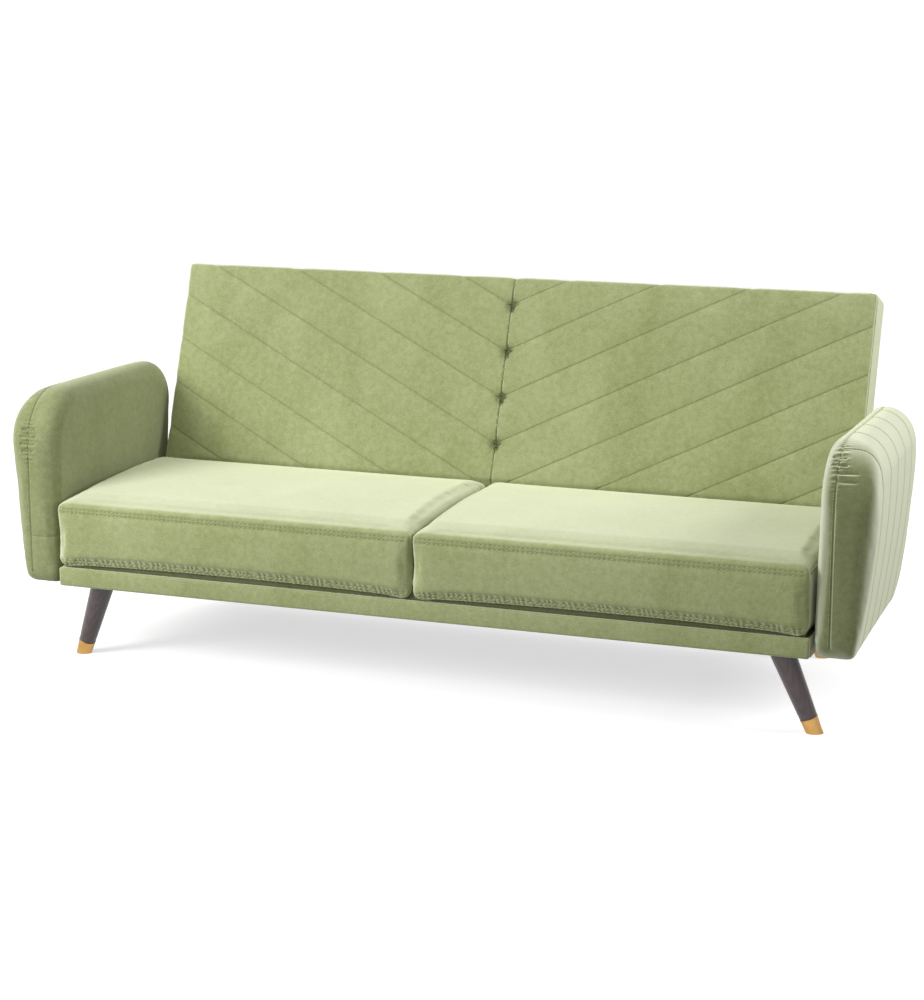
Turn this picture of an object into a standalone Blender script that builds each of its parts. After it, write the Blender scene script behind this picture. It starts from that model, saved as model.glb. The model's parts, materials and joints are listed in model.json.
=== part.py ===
"""Click-clack futon sofa bed: a base on four splayed legs, two arms, a seat and a backrest.

Metres, +Z up, -Y to the front, +X to the right of someone who stands in front of it.
The seat and the backrest turn on one common axis along X, just behind the seat.
"""

import math

import bmesh
import bpy
from mathutils import Matrix, Vector

# ---------------------------------------------------------------- driving dimensions
SEAT_WIDTH = 1.80
SEAT_DEPTH = 0.518
LEG_HEIGHT = 0.19
RAIL_HEIGHT = 0.045
CUSHION_FRONT_HEIGHT = 0.1575
CUSHION_REAR_HEIGHT = 0.1755
CUSHION_SETBACK = 0.011
CUSHION_ROUND = 0.020
CUSHION_CROWN = 0.016
BACK_LENGTH = 0.536
BACK_THICKNESS = 0.110
BACK_ROUND = 0.020
RECLINE = math.radians(19.4)

ARM_WIDTH_TOP = 0.111
ARM_WIDTH_BOTTOM = 0.073
ARM_HEIGHT = 0.463
ARM_FRONT = 0.020
ARM_REAR_PAST_PIVOT = 0.087
ARM_REAR_LEAN = 0.045
ARM_WIDEST = 0.74
ARM_FRONT_FLARE = 0.014
ARM_REAR_TAPER = 0.006
ARM_TOE_ARC = 0.025
ARM_HEEL_ARC = 0.055
ARM_FRONT_ARC = 0.130
ARM_REAR_ARC = 0.105
ARM_SKIN = 0.021
ARM_PANEL_SETBACK = 0.055
ARM_PANEL_TOP = 0.063
ARM_INNER_ROUND = 0.038
ARM_FRONT_ROUND = 0.036
ARM_TOP_ROUND = 0.075
ARM_UNDER_ROUND = 0.015

LEG_TOP_RADIUS = 0.028
LEG_FOOT_RADIUS = 0.0180
LEG_SPLAY_FRONT = (0.075, 0.024)
LEG_SPLAY_REAR = (0.050, 0.072)
LEG_FRONT_INSET = (0.075, 0.090)
LEG_REAR_INSET = 0.160
LEG_PLATE_MARGIN = 0.004
LEG_PLATE_TO_RAIL = 0.0047
BLOCK_REACH = 0.048
HANGER_IN_LEG = 0.045
HANGER_ABOVE_LEG = 0.036
CAP_HEIGHT = 0.030
CAP_WALL = 0.0012

BOARD = 0.020
COVER = 0.003
DUST_COVER = 0.0015
COVER_FOLD_SHORT = 0.004
PLY = 0.012
ARM_PLY = 0.018
PLATE = 0.003
BASE_PLATE = 0.004
PIN_RADIUS = 0.006
BOLT_RADIUS = 0.004
BOLT_HEAD = (0.0072, 0.005)
BOLT_CLEARANCE = 0.006
HINGE_FOOT_FRONT = 0.048
HINGE_FOOT_REAR = 0.052
PIN_HEAD = (0.010, 0.003)
GAP = 0.0003
RUNNING = 0.0001

PIVOT_BEHIND_SEAT = 0.030
PIVOT_BEHIND_FRONT = 0.025
PIVOT_ABOVE_PAD_END = 0.010
BASE_PAST_PIVOT = 0.152
RAIL_SETBACK = 0.014
SEAT_OVER_RAIL = 0.0015
CUSHION_GAP = 0.004
ARM_CLEARANCE = 0.009
BACK_INSET = 0.011

# ---------------------------------------------------------------- places worked out from them
HALF_SEAT = SEAT_WIDTH / 2
HALF_BACK = HALF_SEAT - BACK_INSET
HALF_BASE = HALF_SEAT + ARM_CLEARANCE / 3
ARM_INNER = HALF_SEAT + ARM_CLEARANCE

RAIL_TOP = LEG_HEIGHT + RAIL_HEIGHT
SEAT_BOTTOM = RAIL_TOP + SEAT_OVER_RAIL
SEAT_REAR_TOP = SEAT_BOTTOM + CUSHION_REAR_HEIGHT

PIVOT_Y = SEAT_DEPTH + PIVOT_BEHIND_SEAT
PIVOT_Z = SEAT_REAR_TOP - PIVOT_BEHIND_FRONT - 0.002
BASE_REAR = PIVOT_Y + BASE_PAST_PIVOT

PAD_FRONT = -PIVOT_BEHIND_FRONT
PAD_REAR = PAD_FRONT + BACK_THICKNESS
PAD_END = -PIVOT_ABOVE_PAD_END
PAD_TOP = PAD_END + BACK_LENGTH

# The rearmost point is the rounded corner at the top of the backrest.
DEPTH = (
    PIVOT_Y
    + (PAD_TOP - BACK_ROUND) * math.sin(RECLINE)
    + (PAD_REAR - BACK_ROUND) * math.cos(RECLINE)
    + BACK_ROUND
)

# The hinge plates stand in the gap between the backrest and the arm.
SEAT_ARM_IN = HALF_BACK + 2 * GAP
SEAT_ARM_OUT = SEAT_ARM_IN + PLATE
BASE_PLATE_IN = SEAT_ARM_OUT + 0.001
BASE_PLATE_OUT = BASE_PLATE_IN + BASE_PLATE
SIDE_RAIL_OUT = BASE_PLATE_IN - GAP
SIDE_RAIL_IN = SIDE_RAIL_OUT - BOARD
SIDE_COVER_IN = BASE_PLATE_OUT + GAP
PAD_SIDE_WALL = 0.013
BACK_ARM_OUT = HALF_BACK - PAD_SIDE_WALL - GAP
BACK_ARM_IN = BACK_ARM_OUT - PLATE
BACK_FRAME_OUT = BACK_ARM_IN - 2 * GAP
SEAT_FRAME_OUT = SEAT_ARM_IN - GAP

# ---------------------------------------------------------------- scene and helpers
for old in list(bpy.data.objects):
    bpy.data.objects.remove(old)

PARTS = bpy.data.collections.new("futon_sofa_bed")
CUTTERS = bpy.data.collections.new("cutters")
for group in (PARTS, CUTTERS):
    bpy.context.scene.collection.children.link(group)

FINISHES = {
    "velvet": ((0.33, 0.42, 0.17), 0.85, 0.0),
    "dust_cloth": ((0.03, 0.03, 0.03), 0.9, 0.0),
    "pine": ((0.62, 0.45, 0.25), 0.6, 0.0),
    "plywood": ((0.60, 0.46, 0.30), 0.6, 0.0),
    "dark_wood": ((0.075, 0.045, 0.045), 0.4, 0.0),
    "brass": ((0.75, 0.48, 0.17), 0.3, 1.0),
    "steel": ((0.35, 0.36, 0.38), 0.4, 1.0),
}


def material(name, finish):
    """One Principled material for one piece."""
    colour, roughness, metallic = FINISHES[finish]
    made = bpy.data.materials.new(f"{name}_{finish}")
    made.use_nodes = True
    shader = made.node_tree.nodes["Principled BSDF"]
    shader.inputs["Base Color"].default_value = (*colour, 1.0)
    shader.inputs["Roughness"].default_value = roughness
    shader.inputs["Metallic"].default_value = metallic
    made.diffuse_color = (*colour, 1.0)
    return made


def anchor(name, location, parent=None, turn=0.0):
    """An empty that carries the pieces of one body; turn is about X."""
    empty = bpy.data.objects.new(name, None)
    empty.location = location
    empty.rotation_euler = (turn, 0, 0)
    empty.parent = parent
    PARTS.objects.link(empty)
    return empty


BASE = anchor("base_anchor", (0, -DEPTH / 2, 0))
SEAT = anchor("seat_pivot", (0, PIVOT_Y, PIVOT_Z), BASE)
BACK = anchor("backrest_pivot", (0, PIVOT_Y, PIVOT_Z), BASE, turn=-RECLINE)


def add(name, bm, finish, parent, location=(0, 0, 0)):
    """Puts a finished bmesh in the scene, as a part or, with no finish, as a cutter."""
    bmesh.ops.recalc_face_normals(bm, faces=bm.faces)
    mesh = bpy.data.meshes.new(name)
    bm.to_mesh(mesh)
    bm.free()
    made = bpy.data.objects.new(name, mesh)
    made.location = location
    made.parent = parent
    if finish:
        mesh.materials.append(material(name, finish))
        mesh.shade_smooth()
        mesh.set_sharp_from_angle(angle=math.radians(35))
        PARTS.objects.link(made)
    else:
        made.hide_render = True
        made.display_type = "WIRE"
        CUTTERS.objects.link(made)
    return made


def box(name, xs, ys, zs, finish=None, parent=BASE, about=(0, 0, 0)):
    """A cube between three spans, which are measured from the point about."""
    spans = [sorted(span) for span in (xs, ys, zs)]
    centre = Vector([(low + high) / 2 for low, high in spans])
    size = Vector([high - low for low, high in spans])
    bm = bmesh.new()
    bmesh.ops.create_cube(bm, size=1, matrix=Matrix.Diagonal((*size, 1)))
    return add(name, bm, finish, parent, centre - Vector(about))


def seat_box(name, xs, ys, zs, finish=None):
    """A box of the seat, in the base's coordinates, hung on the seat's pivot."""
    return box(name, xs, ys, zs, finish, SEAT, (0, PIVOT_Y, PIVOT_Z))


def prism(name, outline, xs, finish=None, parent=BASE):
    """A flat outline of (y, z) points in the parent's coordinates, as thick as the span xs."""
    low, high = sorted(xs)
    bm = bmesh.new()
    ring = [bm.verts.new((low, y, z)) for y, z in outline]
    face = bm.faces.new(ring)
    moved = bmesh.ops.extrude_face_region(bm, geom=[face])["geom"]
    verts = [item for item in moved if isinstance(item, bmesh.types.BMVert)]
    bmesh.ops.translate(bm, verts=verts, vec=(high - low, 0, 0))
    return add(name, bm, finish, parent)


def rod(name, radius, xs, y, z, finish=None, parent=BASE, sides=24, head=None):
    """A round bar along X; head is (radius, thickness) of a flange at its outer end."""
    inner, outer = xs
    way = 1 if outer > inner else -1
    bm = bmesh.new()
    turn = Matrix.Rotation(math.radians(90), 4, "Y")
    place = Matrix.Translation(((inner + outer) / 2, y, z)) @ turn
    bmesh.ops.create_cone(
        bm, cap_ends=True, segments=sides, radius1=radius, radius2=radius,
        depth=abs(outer - inner), matrix=place,
    )
    if head:
        bm.normal_update()
        end = max(bm.faces, key=lambda face: way * face.calc_center_median().x)
        for wider, longer in ((head[0] - radius, 0), (0, head[1])):
            moved = bmesh.ops.extrude_face_region(bm, geom=[end])["geom"]
            bmesh.ops.delete(bm, geom=[end], context="FACES_ONLY")
            verts = [item for item in moved if isinstance(item, bmesh.types.BMVert)]
            end = [item for item in moved if isinstance(item, bmesh.types.BMFace)][0]
            grow = (radius + wider) / radius
            if wider:
                bmesh.ops.scale(bm, verts=verts, vec=(1, grow, grow),
                                space=Matrix.Translation((0, -y, -z)))
            bmesh.ops.translate(bm, verts=verts, vec=(way * longer, 0, 0))
    return add(name, bm, finish, parent)


def arc(centre, radius, start, end, steps):
    """Points on an arc in the (y, z) plane, by angles in degrees."""
    angles = [math.radians(start + (end - start) * i / steps) for i in range(steps + 1)]
    return [(centre[0] + radius * math.cos(a), centre[1] + radius * math.sin(a)) for a in angles]


def cut(target, cutter):
    """Takes a cutter away from a part."""
    boolean = target.modifiers.new(f"cut_{cutter.name}", "BOOLEAN")
    boolean.operation = "DIFFERENCE"
    boolean.solver = "EXACT"
    boolean.object = cutter


def round_edges(target, width, segments=3):
    """A rounded edge all over, limited to the real corners."""
    bevel = target.modifiers.new("rounded", "BEVEL")
    bevel.width = width
    bevel.segments = segments
    bevel.limit_method = "ANGLE"
    bevel.angle_limit = math.radians(30)


def each_side():
    """The two sides of the sofa as (name, sign): left is -X, as seen from the front."""
    return (("left", -1), ("right", 1))


# ---------------------------------------------------------------- base: rails, blocks and covers
RAIL_LOW = LEG_HEIGHT + COVER + GAP
RAIL_HIGH = RAIL_TOP - COVER - GAP
RAIL_FRONT_IN = RAIL_SETBACK + COVER + GAP + BOARD
RAIL_REAR_IN = BASE_REAR - COVER - GAP - BOARD
LEG_PLATE_HALF = LEG_TOP_RADIUS + LEG_PLATE_MARGIN
REAR_LEG_Y = RAIL_REAR_IN - LEG_PLATE_HALF - LEG_PLATE_TO_RAIL


def c_cover(name, front, rear, xs):
    """Padded fabric over a rail's outer face, turned in over its top and bottom."""
    away = 1 if rear > front else -1
    fold = front + away * (COVER + BOARD - COVER_FOLD_SHORT)
    inner = front + away * COVER
    outline = [
        (fold, LEG_HEIGHT), (front, LEG_HEIGHT), (front, RAIL_TOP), (fold, RAIL_TOP),
        (fold, RAIL_TOP - COVER), (inner, RAIL_TOP - COVER),
        (inner, LEG_HEIGHT + COVER), (fold, LEG_HEIGHT + COVER),
    ]
    return prism(name, outline, xs, "velvet")


def build_base():
    """Rails in a ring, a cross rail in the middle, corner blocks, covers and the dust cloth."""
    made = {}
    heights = (RAIL_LOW, RAIL_HIGH)
    made["front_rail"] = box(
        "front_rail", (-SIDE_RAIL_OUT, SIDE_RAIL_OUT),
        (RAIL_FRONT_IN - BOARD, RAIL_FRONT_IN), heights, "pine")
    made["rear_rail"] = box(
        "rear_rail", (-SIDE_RAIL_OUT, SIDE_RAIL_OUT),
        (RAIL_REAR_IN, RAIL_REAR_IN + BOARD), heights, "pine")
    between = (RAIL_FRONT_IN + GAP, RAIL_REAR_IN - GAP)
    made["cross_rail"] = box("cross_rail", (-BOARD / 2, BOARD / 2), between, heights, "pine")
    c_cover("front_rail_cover", RAIL_SETBACK, BASE_REAR, (-HALF_BASE, HALF_BASE))
    c_cover("rear_rail_cover", BASE_REAR, RAIL_SETBACK, (-HALF_BASE, HALF_BASE))
    ends = COVER + BOARD - COVER_FOLD_SHORT + GAP
    for side, sign in each_side():
        made[f"{side}_side_rail"] = box(
            f"{side}_side_rail", (sign * SIDE_RAIL_IN, sign * SIDE_RAIL_OUT),
            between, heights, "pine")
        made[f"{side}_rail_cover"] = box(
            f"{side}_rail_cover", (sign * SIDE_COVER_IN, sign * HALF_BASE),
            (RAIL_SETBACK + ends, BASE_REAR - ends), (LEG_HEIGHT, RAIL_TOP), "velvet")
    made["dust_cover"] = box(
        "dust_cover", (-SIDE_RAIL_IN, SIDE_RAIL_IN),
        (RAIL_SETBACK + ends, BASE_REAR - ends),
        (LEG_HEIGHT + GAP, LEG_HEIGHT + GAP + DUST_COVER), "dust_cloth")
    return made


# ---------------------------------------------------------------- legs
def turned(name, profile, finish, place, steps=20):
    """A shape turned round its own Z axis, from a profile that runs top to bottom at +X."""
    bm = bmesh.new()
    points = [bm.verts.new((radius, 0, height)) for radius, height in profile]
    for first, second in zip(points, points[1:]):
        bm.edges.new((first, second))
    mesh = bpy.data.meshes.new(name)
    bm.to_mesh(mesh)
    bm.free()
    made = bpy.data.objects.new(name, mesh)
    made.matrix_basis = place
    made.parent = BASE
    screw = made.modifiers.new("turned", "SCREW")
    screw.steps = steps
    screw.render_steps = steps
    screw.use_merge_vertices = True
    screw.merge_threshold = 0.0001
    if finish:
        mesh.materials.append(material(name, finish))
        PARTS.objects.link(made)
    else:
        made.hide_render = True
        made.display_type = "WIRE"
        CUTTERS.objects.link(made)
    return made


def build_leg(name, sign, top_x, top_y, splay, base):
    """A tapered wooden leg with a brass cap, its steel plate, its hanger bolt and its block."""
    top = Vector((sign * top_x, top_y, LEG_HEIGHT))
    foot = Vector((sign * (top_x + splay[0]), top_y + splay[1], 0))
    axis = (top - foot).normalized()
    length = (top - foot).length
    place = Matrix.Translation(foot) @ axis.to_track_quat("Z", "X").to_matrix().to_4x4()
    spread = LEG_FOOT_RADIUS * math.tan(math.acos(axis.z))
    cap_floor = spread + CAP_WALL + 0.002
    over = length + LEG_TOP_RADIUS
    grow = (LEG_TOP_RADIUS - LEG_FOOT_RADIUS) / length

    def radius(height):
        return LEG_FOOT_RADIUS + grow * height

    cap_top = spread + CAP_HEIGHT
    leg = turned(f"{name}_leg", [
        (0, over), (radius(over), over), (radius(cap_top), cap_top + GAP),
        (radius(cap_top) - CAP_WALL - GAP, cap_top + GAP),
        (LEG_FOOT_RADIUS - CAP_WALL - GAP, cap_floor + GAP), (0, cap_floor + GAP),
    ], "dark_wood", place)
    cap = turned(f"{name}_leg_cap", [
        (0, cap_floor), (LEG_FOOT_RADIUS - CAP_WALL, cap_floor),
        (radius(cap_top) - CAP_WALL, cap_top), (radius(cap_top), cap_top),
        (radius(-spread), -spread), (0, -spread),
    ], "brass", place)

    half = LEG_PLATE_HALF
    plate_low = LEG_HEIGHT + GAP + DUST_COVER + GAP
    plate_high = plate_low + PLATE
    plate = box(
        f"{name}_leg_plate", (sign * (top_x - half), sign * (top_x + half)),
        (top_y - half, top_y + half), (plate_low, plate_high), "steel")
    block_outer = min(top_x + BLOCK_REACH, SIDE_RAIL_IN - GAP)
    block_front = max(top_y - BLOCK_REACH, RAIL_FRONT_IN + GAP)
    block_rear = min(top_y + BLOCK_REACH, RAIL_REAR_IN - GAP)
    block = box(
        f"{name}_corner_block", (sign * (top_x - BLOCK_REACH), sign * block_outer),
        (block_front, block_rear), (plate_high + GAP, RAIL_HIGH), "pine")

    bolt_low = length - HANGER_IN_LEG
    bolt_high = length + HANGER_ABOVE_LEG
    bore_radius = BOLT_RADIUS + GAP
    turned(f"{name}_hanger_bolt", [
        (0, bolt_high), (BOLT_RADIUS, bolt_high), (BOLT_RADIUS, bolt_low), (0, bolt_low),
    ], "steel", place, steps=12)
    bore = turned(f"{name}_bolt_bore", [
        (0, bolt_high + BOARD), (bore_radius, bolt_high + BOARD),
        (bore_radius, bolt_low - GAP), (0, bolt_low - GAP),
    ], None, place, steps=12)
    above = box(
        f"{name}_rail_plane", (sign * (top_x - 0.1), sign * (top_x + 0.1)),
        (top_y - 0.1, top_y + 0.1), (LEG_HEIGHT, LEG_HEIGHT + 0.12))
    below = box(
        f"{name}_floor_plane", (foot.x - 0.1, foot.x + 0.1),
        (foot.y - 0.1, foot.y + 0.1), (-0.1, 0))
    cut(leg, above)
    cut(cap, below)
    for piece in (leg, plate, block, base["dust_cover"]):
        cut(piece, bore)


def build_legs(base):
    """Front legs splay outwards and a little backwards; rear legs splay to the rear corner."""
    for side, sign in each_side():
        build_leg(f"{side}_front", sign, HALF_SEAT - LEG_FRONT_INSET[0],
                  LEG_FRONT_INSET[1], LEG_SPLAY_FRONT, base)
        build_leg(f"{side}_rear", sign, HALF_SEAT - LEG_REAR_INSET,
                  REAR_LEG_Y, LEG_SPLAY_REAR, base)


# ---------------------------------------------------------------- arms
def arm_outline():
    """Side outline of an arm as (y, z), counter-clockwise from the toe, with big arcs at the top."""
    low = LEG_HEIGHT
    high = LEG_HEIGHT + ARM_HEIGHT
    rear = PIVOT_Y + ARM_REAR_PAST_PIVOT
    heel_y = rear - ARM_REAR_LEAN - ARM_HEEL_ARC
    return [
        *arc((ARM_FRONT + ARM_TOE_ARC, low + ARM_TOE_ARC), ARM_TOE_ARC, 180, 270, 3),
        *arc((heel_y, low + ARM_HEEL_ARC), ARM_HEEL_ARC, 270, 352, 4),
        *arc((rear - ARM_REAR_ARC, high - ARM_REAR_ARC), ARM_REAR_ARC, -8, 90, 6),
        *arc((ARM_FRONT + ARM_FRONT_ARC, high - ARM_FRONT_ARC), ARM_FRONT_ARC, 90, 180, 6),
    ]


def share_of(value, start, end):
    """How far a value has gone from start to end, from 0 to 1."""
    return min(max((value - start) / (end - start), 0), 1)


def arm_outer(y, z):
    """Width of an arm at a point of its side: it leans out with height and narrows to the rear."""
    rise = share_of(z, LEG_HEIGHT, LEG_HEIGHT + ARM_WIDEST * ARM_HEIGHT)
    lean = ARM_WIDTH_BOTTOM + (ARM_WIDTH_TOP - ARM_WIDTH_BOTTOM) * (1 - (1 - rise) ** 1.6)
    back = share_of(y, ARM_FRONT, PIVOT_Y + ARM_REAR_PAST_PIVOT)
    return lean + ARM_FRONT_FLARE * (1 - back) - ARM_REAR_TAPER * back


def arm_edge(y, z, front, top):
    """Radius of an arm's edge: one up the front, one over the top and rear, small underneath."""
    behind = share_of(y, ARM_FRONT + 0.02, ARM_FRONT + 0.12)
    upper = share_of(z, LEG_HEIGHT + 0.06, LEG_HEIGHT + 0.5 * ARM_HEIGHT)
    return ARM_UNDER_ROUND + (front + (top - front) * behind - ARM_UNDER_ROUND) * upper


def arm_ring(outline, inset, reach):
    """The outline drawn in by inset(y, z) along its normals, at the distance reach(y, z) in x."""
    ring = []
    count = len(outline)
    for i, (y, z) in enumerate(outline):
        before = outline[i - 1]
        after = outline[(i + 1) % count]
        along = Vector((after[0] - before[0], after[1] - before[1])).normalized()
        inward = Vector((-along.y, along.x))
        move = inset(y, z)
        ring.append((reach(y, z), y + inward.x * move, z + inward.y * move))
    return ring


def arm_rings(outline, turns=4):
    """Sections of an arm from its inner face to its outer one."""
    def inner_edge(y, z):
        return arm_edge(y, z, ARM_INNER_ROUND, ARM_INNER_ROUND)

    def outer_edge(y, z):
        return arm_edge(y, z, ARM_FRONT_ROUND, ARM_TOP_ROUND)

    angles = [math.radians(90 * step / turns) for step in range(turns + 1)]
    rings = [
        arm_ring(outline, lambda y, z, a=angle: inner_edge(y, z) * (1 - math.sin(a)),
                 lambda y, z, a=angle: inner_edge(y, z) * (1 - math.cos(a)))
        for angle in angles
    ]
    rings += [
        arm_ring(outline, lambda y, z, a=angle: outer_edge(y, z) * (1 - math.cos(a)),
                 lambda y, z, a=angle: arm_outer(y, z) - outer_edge(y, z) * (1 - math.sin(a)))
        for angle in angles
    ]
    return rings


def build_arm(side, sign, base):
    """A plywood panel inside a padded cover, bolted through the side rail."""
    outline = arm_outline()
    high = LEG_HEIGHT + ARM_HEIGHT
    rings = arm_rings(outline)
    bm = bmesh.new()
    loops = [
        [bm.verts.new((sign * (ARM_INNER + x), y, z)) for x, y, z in ring] for ring in rings
    ]
    count = len(outline)
    for first, second in zip(loops, loops[1:]):
        for i in range(count):
            j = (i + 1) % count
            bm.faces.new((first[i], first[j], second[j], second[i]))
    bm.faces.new(loops[0])
    bm.faces.new(loops[-1])
    bmesh.ops.triangulate(bm, faces=[face for face in bm.faces if len(face.verts) > 4])
    pad = add(f"{side}_arm_pad", bm, "velvet", BASE)

    panel = ARM_INNER + ARM_SKIN + GAP
    frame_x = (sign * panel, sign * (panel + ARM_PLY))
    rear = PIVOT_Y + ARM_REAR_PAST_PIVOT - ARM_REAR_LEAN
    frame_y = (ARM_FRONT + ARM_PANEL_SETBACK, rear - ARM_PANEL_SETBACK)
    frame_z = (RAIL_LOW, high - ARM_PANEL_TOP)
    frame = box(f"{side}_arm_frame", frame_x, frame_y, frame_z, "plywood")
    pocket = box(
        f"{side}_arm_pocket", (frame_x[0] - sign * GAP, frame_x[1] + sign * GAP),
        (frame_y[0] - GAP, frame_y[1] + GAP), (LEG_HEIGHT / 2, frame_z[1] + GAP))
    cut(pad, pocket)
    bolt_z = (RAIL_LOW + RAIL_HIGH) / 2
    front_bolt_y = LEG_FRONT_INSET[1] + BLOCK_REACH + BOLT_HEAD[0] + BOLT_CLEARANCE
    rear_bolt_y = PIVOT_Y - HINGE_FOOT_FRONT - BOLT_HEAD[0] - BOLT_CLEARANCE
    for place, bolt_y in (("front", front_bolt_y), ("rear", rear_bolt_y)):
        head_x = sign * (SIDE_RAIL_IN - GAP)
        rod(f"{side}_arm_bolt_{place}", BOLT_RADIUS, (frame_x[1], head_x), bolt_y, bolt_z,
            "steel", sides=12, head=BOLT_HEAD)
        hole = rod(f"{side}_arm_bore_{place}", BOLT_RADIUS + GAP,
                   (frame_x[1] + sign * GAP / 2, head_x - sign * GAP), bolt_y, bolt_z, sides=12)
        for piece in (base[f"{side}_side_rail"], base[f"{side}_rail_cover"], pad, frame):
            cut(piece, hole)


# ---------------------------------------------------------------- seat
SKIN = 0.022
SEAT_BOARD_HIGH = SEAT_BOTTOM + 0.0335
SEAT_DECK_LOW = SEAT_BOARD_HIGH + GAP
SEAT_DECK_HIGH = SEAT_DECK_LOW + PLY


def cushion_outline(steps=8):
    """Side outline of a cushion from the pivot: upright sides and a crowned top that rises to the rear."""
    front = -PIVOT_Y
    rear = SEAT_DEPTH - PIVOT_Y
    low = SEAT_BOTTOM - PIVOT_Z
    start = Vector((front + CUSHION_SETBACK, low + CUSHION_FRONT_HEIGHT))
    end = Vector((rear, low + CUSHION_REAR_HEIGHT))
    top = []
    for step in range(steps + 1):
        share = step / steps
        point = start.lerp(end, share)
        top.append((point.x, point.y + CUSHION_CROWN * 4 * share * (1 - share)))
    return [(rear, low), (front, low)] + top


def build_seat():
    """Two cushions over one timber frame with a plywood deck."""
    low = SEAT_BOTTOM + GAP
    ys = (SKIN + GAP, SEAT_DEPTH - SKIN - GAP)
    inner = SEAT_FRAME_OUT - BOARD
    for place, span in (("front", (ys[0], ys[0] + BOARD)), ("rear", (ys[1] - BOARD, ys[1]))):
        seat_box(f"seat_frame_{place}", (-SEAT_FRAME_OUT, SEAT_FRAME_OUT), span,
                 (low, SEAT_BOARD_HIGH), "pine")
    for side, sign in each_side():
        seat_box(f"seat_frame_{side}", (sign * inner, sign * SEAT_FRAME_OUT),
                 (ys[0] + BOARD + GAP, ys[1] - BOARD - GAP), (low, SEAT_BOARD_HIGH), "pine")
    seat_box("seat_deck", (-SEAT_FRAME_OUT, SEAT_FRAME_OUT), ys,
             (SEAT_DECK_LOW, SEAT_DECK_HIGH), "plywood")
    recess = seat_box(
        "seat_recess", (-SEAT_FRAME_OUT - GAP, SEAT_FRAME_OUT + GAP),
        (SKIN, SEAT_DEPTH - SKIN), (SEAT_BOTTOM - 0.05, SEAT_DECK_HIGH + GAP))
    for side, sign in each_side():
        cushion = prism(f"{side}_seat_cushion", cushion_outline(),
                        (sign * CUSHION_GAP / 2, sign * HALF_SEAT), "velvet", SEAT)
        round_edges(cushion, CUSHION_ROUND)
        cut(cushion, recess)
        slot = seat_box(
            f"{side}_seat_arm_slot",
            (sign * (SEAT_ARM_IN - 2 * GAP), sign * (SEAT_ARM_OUT + GAP)),
            (SEAT_ARM_FRONT - GAP, SEAT_DEPTH + 0.1),
            (SEAT_BOTTOM - 0.05, SEAT_ARM_HIGH + GAP))
        cut(cushion, slot)


# ---------------------------------------------------------------- backrest
FRAME_FRONT = 0.010
FRAME_REAR = 0.060
FRAME_LOW = PAD_END + 0.025
FRAME_HIGH = PAD_TOP - 0.022


def build_back():
    """A padded front over a timber frame, closed behind by a fabric panel."""
    depth = (FRAME_FRONT, FRAME_REAR)
    inner = BACK_FRAME_OUT - BOARD
    for side, sign in each_side():
        box(f"back_frame_{side}", (sign * inner, sign * BACK_FRAME_OUT), depth,
            (FRAME_LOW, FRAME_HIGH), "pine", BACK)
    for place, span in (("bottom", (FRAME_LOW, FRAME_LOW + BOARD)),
                        ("top", (FRAME_HIGH - BOARD, FRAME_HIGH))):
        box(f"back_frame_{place}", (-inner + GAP, inner - GAP), depth, span, "pine", BACK)
    pad = box("back_pad", (-HALF_BACK, HALF_BACK), (PAD_FRONT, PAD_REAR),
              (PAD_END, PAD_TOP), "velvet", BACK)
    round_edges(pad, BACK_ROUND)
    recess_out = BACK_FRAME_OUT + GAP
    recess = box("back_recess", (-recess_out, recess_out),
                 (FRAME_FRONT - GAP, PAD_REAR + 0.05),
                 (FRAME_LOW - GAP, FRAME_HIGH + GAP), parent=BACK)
    cut(pad, recess)
    cover_rear = PAD_REAR - 0.0006
    box("back_rear_cover", (-BACK_FRAME_OUT, BACK_FRAME_OUT), (cover_rear - COVER, cover_rear),
        (FRAME_LOW, FRAME_HIGH), "velvet", BACK)
    for side, sign in each_side():
        slot = box(
            f"{side}_back_arm_slot",
            (sign * (BACK_ARM_IN - 2 * GAP), sign * (BACK_ARM_OUT + GAP)),
            (-BACK_ARM_HALF - GAP, PAD_REAR + 0.05),
            (PAD_END - 0.05, BACK_ARM_TOP + GAP), parent=BACK)
        notch = box(
            f"{side}_pin_notch", (sign * BACK_ARM_OUT, sign * (HALF_BACK + 0.01)),
            (-PIN_RADIUS * 1.5, PIN_RADIUS * 1.5), (PAD_END - 0.05, PIN_RADIUS * 1.5),
            parent=BACK)
        cut(pad, slot)
        cut(pad, notch)


# ---------------------------------------------------------------- hinge plates and pins
BACK_ARM_HALF = 0.012
BACK_ARM_TOP = 0.22
SEAT_ARM_FRONT = PIVOT_Y - 0.150
SEAT_ARM_LOW = SEAT_BOTTOM + 0.006
SEAT_ARM_HIGH = SEAT_ARM_LOW + 0.030
EYE = 0.017


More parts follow.
